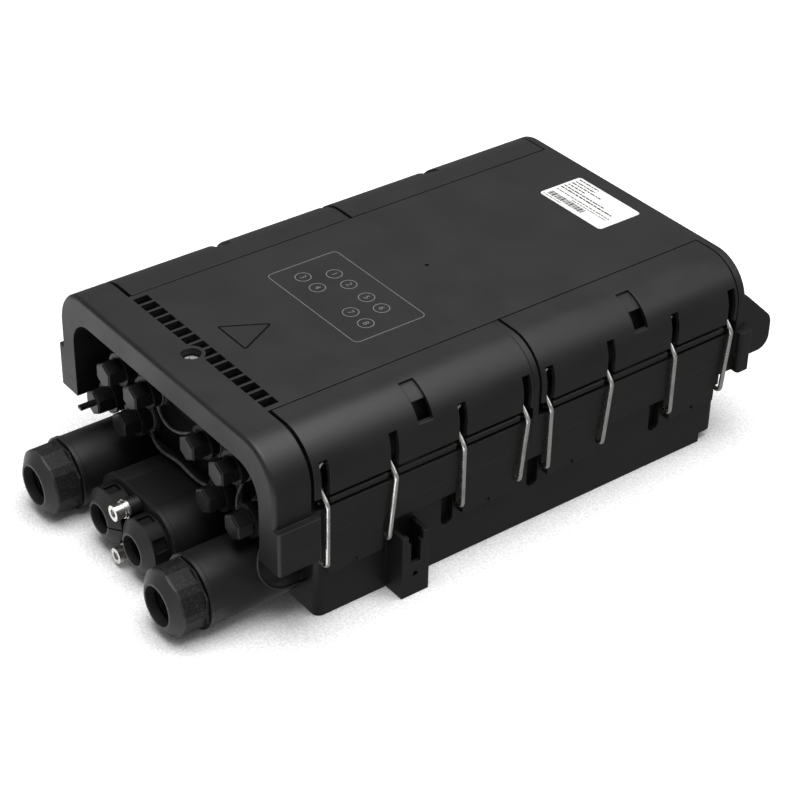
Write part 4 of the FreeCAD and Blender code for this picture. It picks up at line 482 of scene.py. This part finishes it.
def ring_tree(name, about_y):
    """A ring round each point, square in section with eased edges."""
    tree, start, end = new_tree(name, "Radius", "Width", "Height", "Ease")
    path = tree.nodes.new("GeometryNodeCurvePrimitiveCircle")
    path.inputs["Resolution"].default_value = 56
    profile = tree.nodes.new("GeometryNodeCurvePrimitiveQuadrilateral")
    eased = tree.nodes.new("GeometryNodeFilletCurve")
    eased.mode = "POLY"
    eased.inputs["Count"].default_value = 3
    swept = tree.nodes.new("GeometryNodeCurveToMesh")
    placed = tree.nodes.new("GeometryNodeInstanceOnPoints")
    if about_y:
        placed.inputs["Rotation"].default_value = (math.pi / 2, 0.0, 0.0)
    tree.links.new(start.outputs["Radius"], path.inputs["Radius"])
    tree.links.new(start.outputs["Width"], profile.inputs["Width"])
    tree.links.new(start.outputs["Height"], profile.inputs["Height"])
    tree.links.new(profile.outputs["Curve"], eased.inputs["Curve"])
    tree.links.new(start.outputs["Ease"], eased.inputs["Radius"])
    tree.links.new(path.outputs["Curve"], swept.inputs["Curve"])
    tree.links.new(eased.outputs["Curve"], swept.inputs["Profile Curve"])
    tree.links.new(start.outputs["Geometry"], placed.inputs["Points"])
    tree.links.new(swept.outputs["Mesh"], placed.inputs["Instance"])
    close_tree(tree, start, end, placed.outputs["Instances"])
    return tree


def bar_tree():
    """A flat bar of ink at each point, as long and high as the point says."""
    tree, start, end = new_tree("Label bars", "Thickness")
    bar = tree.nodes.new("GeometryNodeMeshCube")
    long = tree.nodes.new("GeometryNodeInputNamedAttribute")
    long.data_type = "FLOAT"
    long.inputs["Name"].default_value = "bar_length"
    high = tree.nodes.new("GeometryNodeInputNamedAttribute")
    high.data_type = "FLOAT"
    high.inputs["Name"].default_value = "bar_height"
    scale = tree.nodes.new("ShaderNodeCombineXYZ")
    placed = tree.nodes.new("GeometryNodeInstanceOnPoints")
    tree.links.new(long.outputs["Attribute"], scale.inputs["X"])
    tree.links.new(high.outputs["Attribute"], scale.inputs["Y"])
    tree.links.new(start.outputs["Thickness"], scale.inputs["Z"])
    tree.links.new(start.outputs["Geometry"], placed.inputs["Points"])
    tree.links.new(bar.outputs["Mesh"], placed.inputs["Instance"])
    tree.links.new(scale.outputs["Vector"], placed.inputs["Scale"])
    close_tree(tree, start, end, placed.outputs["Instances"])
    return tree


def bars_mesh(name, bars):
    """Points for (x, y, z, length, height) bars."""
    mesh = points_mesh(name, [bar[:3] for bar in bars])
    for title, index in (("bar_length", 3), ("bar_height", 4)):
        values = mesh.attributes.new(title, "FLOAT", "POINT")
        values.data.foreach_set("value", [bar[index] for bar in bars])
    return mesh


def ring_exit(port, layer, degrees):
    """Where a strap leaves its ring, at an angle from +X towards +Z."""
    reach = bpy.context.scene.hub_rubber.ring_reach
    x, z = PORTS[port]
    turn = math.radians(degrees)
    return (x + reach * math.cos(turn), RING_LAYERS[layer], z + reach * math.sin(turn))


def cord_curve(name, points, radius, material):
    """A round cord on one smooth spline with these control points."""
    curve = bpy.data.curves.new(name, "CURVE")
    curve.dimensions = "3D"
    curve.bevel_depth = radius
    curve.bevel_resolution = 5
    curve.resolution_u = 12
    curve.use_fill_caps = True
    spline = curve.splines.new("NURBS")
    spline.points.add(len(points) - 1)
    for spot, point in zip(spline.points, points):
        spot.co = (*point, 1.0)
    spline.order_u = 3
    spline.use_endpoint_u = True
    return new_piece(name, curve, material)


# Operators

class HUB_OT_shell(Operator):
    """Moulded finish of the base and cover, and of the port panel darkened with painted shade"""
    bl_idname = "hub.shell"
    bl_label = "Shell"

    def execute(self, context):
        p = context.scene.hub_plastic
        dress(moulded("Housing plastic", p.shell, p.worn, p.roughness, p.grain, p.depth, p.edge),
              "base_shell", "cover_shell")
        # The port panel is painted darker than the housing: painted shade under the hood.
        dress(moulded("Panel plastic", p.panel, p.worn, p.roughness, p.grain, p.depth, p.edge,
                      shine=0.15), "port_panel")
        return {"FINISHED"}


class HUB_OT_levers(Operator):
    """Moulded finish of the four latch levers"""
    bl_idname = "hub.levers"
    bl_label = "Levers"

    def execute(self, context):
        p = context.scene.hub_plastic
        dress(moulded("Lever plastic", p.lever, p.worn, p.roughness - LEVER_SMOOTHER, p.grain, p.depth,
                      p.edge), *like("latch_lever_"))
        return {"FINISHED"}


class HUB_OT_glands(Operator):
    """Nylon finish of the gland nuts and collars, and the seals in them"""
    bl_idname = "hub.glands"
    bl_label = "Glands and collars"

    def execute(self, context):
        p = context.scene.hub_plastic
        for start, (title, nose, strength) in GLAND_FINISHES.items():
            pieces = like(start)
            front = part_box(pieces[0])[0].y + nose
            dress(grainy_nylon(title, p.gland, p.nose, p.glint, front, strength), *pieces)
        dress(soft_rubber("Seal rubber", context.scene.hub_rubber.rubber),
              *like("gland_seal_"), "port_seals", "rim_seal")
        return {"FINISHED"}


class HUB_OT_ports(Operator):
    """Finish of the adapters, their caps and nuts"""
    bl_idname = "hub.ports"
    bl_label = "Ports"

    def execute(self, context):
        p = context.scene.hub_plastic
        dress(moulded("Adapter plastic", p.port, p.worn, roughness=0.34, grain=PORT_GRAIN, **SMOOTH),
              *like("adapter_"))
        dress(moulded("Cap plastic", p.port, p.worn, roughness=0.30, grain=PORT_GRAIN, shine=0.2, **SMOOTH),
              *like("port_cap_"))
        return {"FINISHED"}


class HUB_OT_metal(Operator):
    """Steel of the bails, screws, washers and tray pins, and blackened hinge rods"""
    bl_idname = "hub.metal"
    bl_label = "Wire and screws"

    def execute(self, context):
        m = context.scene.hub_metal
        dress(drawn_steel("Drawn steel", m.steel, m.stained, m.roughness),
              *like("bail_"), *like("clamp_"), "tray_pins")
        dress(drawn_steel("Dull steel", m.dull, m.stained, m.roughness + DULL_ROUGHER), "cover_screw")
        dress(drawn_steel("Blackened steel", m.black, paler(m.black, 0.6), m.roughness + BLACK_ROUGHER),
              *like("hinge_rod_"))
        return {"FINISHED"}


class HUB_OT_inside(Operator):
    """Finish of the splice trays, their bracket and the splitter module"""
    bl_idname = "hub.inside"
    bl_label = "Inside"

    def execute(self, context):
        p = context.scene.hub_plastic
        dress(moulded("Tray plastic", p.tray, paler(p.tray, 1.2), roughness=0.45, grain=TRAY_GRAIN, **SMOOTH),
              *like("splice_tray_"), "tray_bracket")
        dress(moulded("Module plastic", p.module, paler(p.module, 1.2), roughness=0.40, grain=MODULE_GRAIN,
                      **SMOOTH), "splitter_module")
        return {"FINISHED"}


class HUB_OT_straps(Operator):
    """Rubber straps between the port caps, with their rings, and the loop beside the hood"""
    bl_idname = "hub.straps"
    bl_label = "Straps and loop"

    def execute(self, context):
        r = context.scene.hub_rubber
        rubber = soft_rubber("Strap rubber", r.strap)
        # Ports held, each with its ring's layer; length, or 0 where it is too short for a cord; and route
        straps = {
            "strap_1": (((1, 0), (2, 0)), 0.0, (
                ring_exit(1, 0, -45), (-0.049, -0.163, 0.078), (-0.0425, -0.1632, 0.0795),
                ring_exit(2, 0, 200))),
            "strap_2": (((2, 1), (5, 0)), 0.0595, (
                ring_exit(2, 1, -75), (-0.0265, -0.1654, 0.075), (-0.016, -0.166, 0.071),
                (-0.003, -0.166, 0.074), (0.009, -0.164, 0.0805), ring_exit(5, 0, 200))),
            "strap_3": (((4, 0), (7, 0)), 0.0825, (
                ring_exit(4, 0, -60), (-0.036, -0.1655, 0.0505), (-0.022, -0.167, 0.0492),
                (-0.006, -0.1668, 0.053), (0.008, -0.1668, 0.051), (0.022, -0.166, 0.0505),
                ring_exit(7, 0, 215))),
            "strap_4": (((5, 1), (6, 0)), 0.0, (
                ring_exit(5, 1, -45), (0.043, -0.1648, 0.078), (0.0495, -0.164, 0.0795),
                ring_exit(6, 0, 200))),
            "strap_5": (((6, 1), (8, 0)), 0.0445, (
                ring_exit(6, 1, -80), (0.061, -0.166, 0.0735), (0.0585, -0.1675, 0.065),
                (0.060, -0.168, 0.056), (0.067, -0.167, 0.050), ring_exit(8, 0, -75))),
        }
        tree = ring_tree("Strap rings", True)
        sizes = {"Radius": (r.ring_outer + r.ring_inner) / 2, "Width": r.ring_outer - r.ring_inner,
                 "Height": r.ring_height, "Ease": RING_EASE}
        for name, (held, real_length, route) in straps.items():
            necks = [(PORTS[port][0], RING_LAYERS[layer], PORTS[port][1]) for port, layer in held]
            rings = keep(grown(f"{name}_rings", points_mesh(name, necks), tree, sizes, rubber))
            strap = keep(cord_curve(f"{name}_cord", route, r.strap_radius, rubber))
            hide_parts(name)
        black = soft_rubber("Loop rubber", r.loop, shine=0.4)
        loop = keep(cord_curve("tether_loop_cord", LOOP_ROUTE, r.loop_radius, black))
        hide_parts("tether_loop")
        return {"FINISHED"}


class HUB_OT_numbers(Operator):
    """Number plate printed on the cover, and the triangle's groove drawn as a near-black line of painted
    shade
    """
    bl_idname = "hub.numbers"
    bl_label = "Cover print"

    def execute(self, context):
        p = context.scene.hub_print
        pale = printed("Pale print", p.light, roughness=0.5)
        # The triangle's line is painted shade in its groove, drawn as a flat near-black sheet.
        dark = printed("Dark print", p.groove, roughness=0.6, shine=0.05)
        height = COVER_TOP + p.height / 2
        line = printed_line_tree()
        for name, corners, corner, width, ink, slot in (
                ("number_plate", PLATE_CORNERS, p.corner, p.line, pale, "label_film"),
                ("front_triangle", TRIANGLE_CORNERS, TRIANGLE_ROUND, p.heavy, dark, "rubber")):
            spots = [(x, y, height) for x, y in corners]
            chain = [(index, (index + 1) % len(spots)) for index in range(len(spots))]
            sizes = {"Width": width, "Height": p.height, "Corner": corner}
            keep(grown(name, points_mesh(name, spots, chain), line, sizes, ink))
        spots = [(x, y, height) for x, y in NUMBER_PLACES.values()]
        sizes = {"Radius": p.circle, "Width": p.line, "Height": p.height, "Ease": CIRCLE_EASE}
        circles = grown("number_circles", points_mesh("number_circles", spots),
                        ring_tree("Number circles", False), sizes, pale)
        keep(circles)
        for number, (x, y) in NUMBER_PLACES.items():
            words = bpy.data.curves.new("digit", "FONT")
            words.body = str(number)
            words.size = p.digit
            words.extrude = p.height / 2
            words.align_x = "CENTER"
            words.align_y = "CENTER"
            text = new_piece("digit", words)
            graph = context.evaluated_depsgraph_get()
            mesh = bpy.data.meshes.new_from_object(text.evaluated_get(graph), depsgraph=graph)
            bpy.data.objects.remove(text)
            mesh.transform(Matrix.Translation((x, y, height)))
            keep(new_piece(f"number_{number}", mesh, pale))
        return {"FINISHED"}


class HUB_OT_label(Operator):
    """White label on the cover, with plain lines and bars"""
    bl_idname = "hub.label"
    bl_label = "Label"

    def execute(self, context):
        p = context.scene.hub_print
        dress(printed("Label film", p.film, roughness=0.40), "label_plate")
        ink = printed("Label ink", p.ink, roughness=0.55, shine=0.1)
        width, depth = LABEL_HIGH.x - LABEL_LOW.x, LABEL_HIGH.y - LABEL_LOW.y
        top = LABEL_HIGH.z + p.height / 2
        bars = []
        for row, (across, begin, stop, high) in enumerate(LABEL_LINES):
            along, turn = begin, row
            while along < stop:
                word = min(LABEL_WORDS[turn % len(LABEL_WORDS)], stop - along)
                bars.append((LABEL_LOW.x + (along + word / 2) * width, LABEL_LOW.y + across * depth, top,
                             word * width, high * depth))
                along += word + LABEL_WORD_GAP
                turn += 1
        for index, bar in enumerate(BAR_WIDTHS):
            along = BARS_START + index * BARS_PITCH
            bars.append((LABEL_LOW.x + along * width, LABEL_LOW.y + BARS_PLACE * depth, top,
                         bar * width, BARS_HEIGHT * depth))
        lines = grown("label_print", bars_mesh("label_print", bars), bar_tree(), {"Thickness": p.height}, ink)
        keep(lines)
        return {"FINISHED"}


class HUB_OT_stage(Operator):
    """Pale floor, soft studio light and the camera"""
    bl_idname = "hub.stage"
    bl_label = "Stage"

    def execute(self, context):
        g = context.scene.hub_stage
        scene = context.scene
        scene.view_settings.view_transform = "Standard"
        pale = printed("Pale floor", g.floor, roughness=0.8)
        for name, (low, high, height, mirrored) in STAGE_SHEETS.items():
            sheet = bpy.data.meshes.new(name)
            sheet.from_pydata([(low[0], low[1], height), (high[0], low[1], height),
                               (high[0], high[1], height), (low[0], high[1], height)], [], [(0, 1, 2, 3)])
            piece = new_piece(name, sheet, pale)
            piece.visible_glossy = mirrored
        world = bpy.data.worlds.new("White studio")
        world.use_nodes = True
        sky = world.node_tree.nodes["Background"]
        sky.inputs["Color"].default_value = (1.0, 1.0, 1.0, 1.0)
        sky.inputs["Strength"].default_value = g.sky
        scene.world = world
        for name, (place, size) in LIGHTS.items():
            lamp = bpy.data.lights.new(f"{name}_light", "AREA")
            lamp.size = size
            lamp.energy = getattr(g, name)
            light = bpy.data.objects.new(f"{name}_light", lamp)
            light.location = place
            light.rotation_euler = (LIGHTS_AIM - Vector(place)).to_track_quat("-Z", "Y").to_euler()
            scene.collection.objects.link(light)
        camera = bpy.data.objects.new("camera", bpy.data.cameras.new("camera"))
        camera.data.lens = g.lens
        camera.data.sensor_width = SENSOR_WIDTH
        turn = Matrix((CAMERA_RIGHT, CAMERA_UP, CAMERA_BACK)).transposed()
        camera.matrix_world = Matrix.Translation(g.camera) @ turn.to_4x4()
        scene.collection.objects.link(camera)
        scene.camera = camera
        return {"FINISHED"}


class HUB_PT_panel(Panel):
    """Lists the box's operators"""
    bl_idname = "HUB_PT_panel"
    bl_label = "Hub box"
    bl_space_type = "VIEW_3D"
    bl_region_type = "UI"
    bl_category = "Hub box"

    def draw(self, context):
        for operator in OPERATORS:
            self.layout.operator(operator.bl_idname)


GROUPS = {"hub_plastic": HubPlastic, "hub_metal": HubMetal, "hub_rubber": HubRubber, "hub_print": HubPrint,
          "hub_stage": HubStage}
OPERATORS = (HUB_OT_stage, HUB_OT_straps, HUB_OT_shell, HUB_OT_levers, HUB_OT_glands, HUB_OT_ports,
             HUB_OT_metal, HUB_OT_inside, HUB_OT_numbers, HUB_OT_label)


def register():
    for group in GROUPS.values():
        bpy.utils.register_class(group)
    for name, group in GROUPS.items():
        setattr(bpy.types.Scene, name, PointerProperty(type=group))
    for operator in OPERATORS:
        bpy.utils.register_class(operator)
    bpy.utils.register_class(HUB_PT_panel)


def unregister():
    bpy.utils.unregister_class(HUB_PT_panel)
    for operator in reversed(OPERATORS):
        bpy.utils.unregister_class(operator)
    for name, group in GROUPS.items():
        delattr(bpy.types.Scene, name)
        bpy.utils.unregister_class(group)


def main():
    register()
    bpy.ops.hub.stage()
    bpy.ops.hub.straps()
    bpy.ops.hub.shell()
    bpy.ops.hub.levers()
    bpy.ops.hub.glands()
    bpy.ops.hub.ports()
    bpy.ops.hub.metal()
    bpy.ops.hub.inside()
    bpy.ops.hub.numbers()
    bpy.ops.hub.label()


if __name__ == "__main__":
    main()
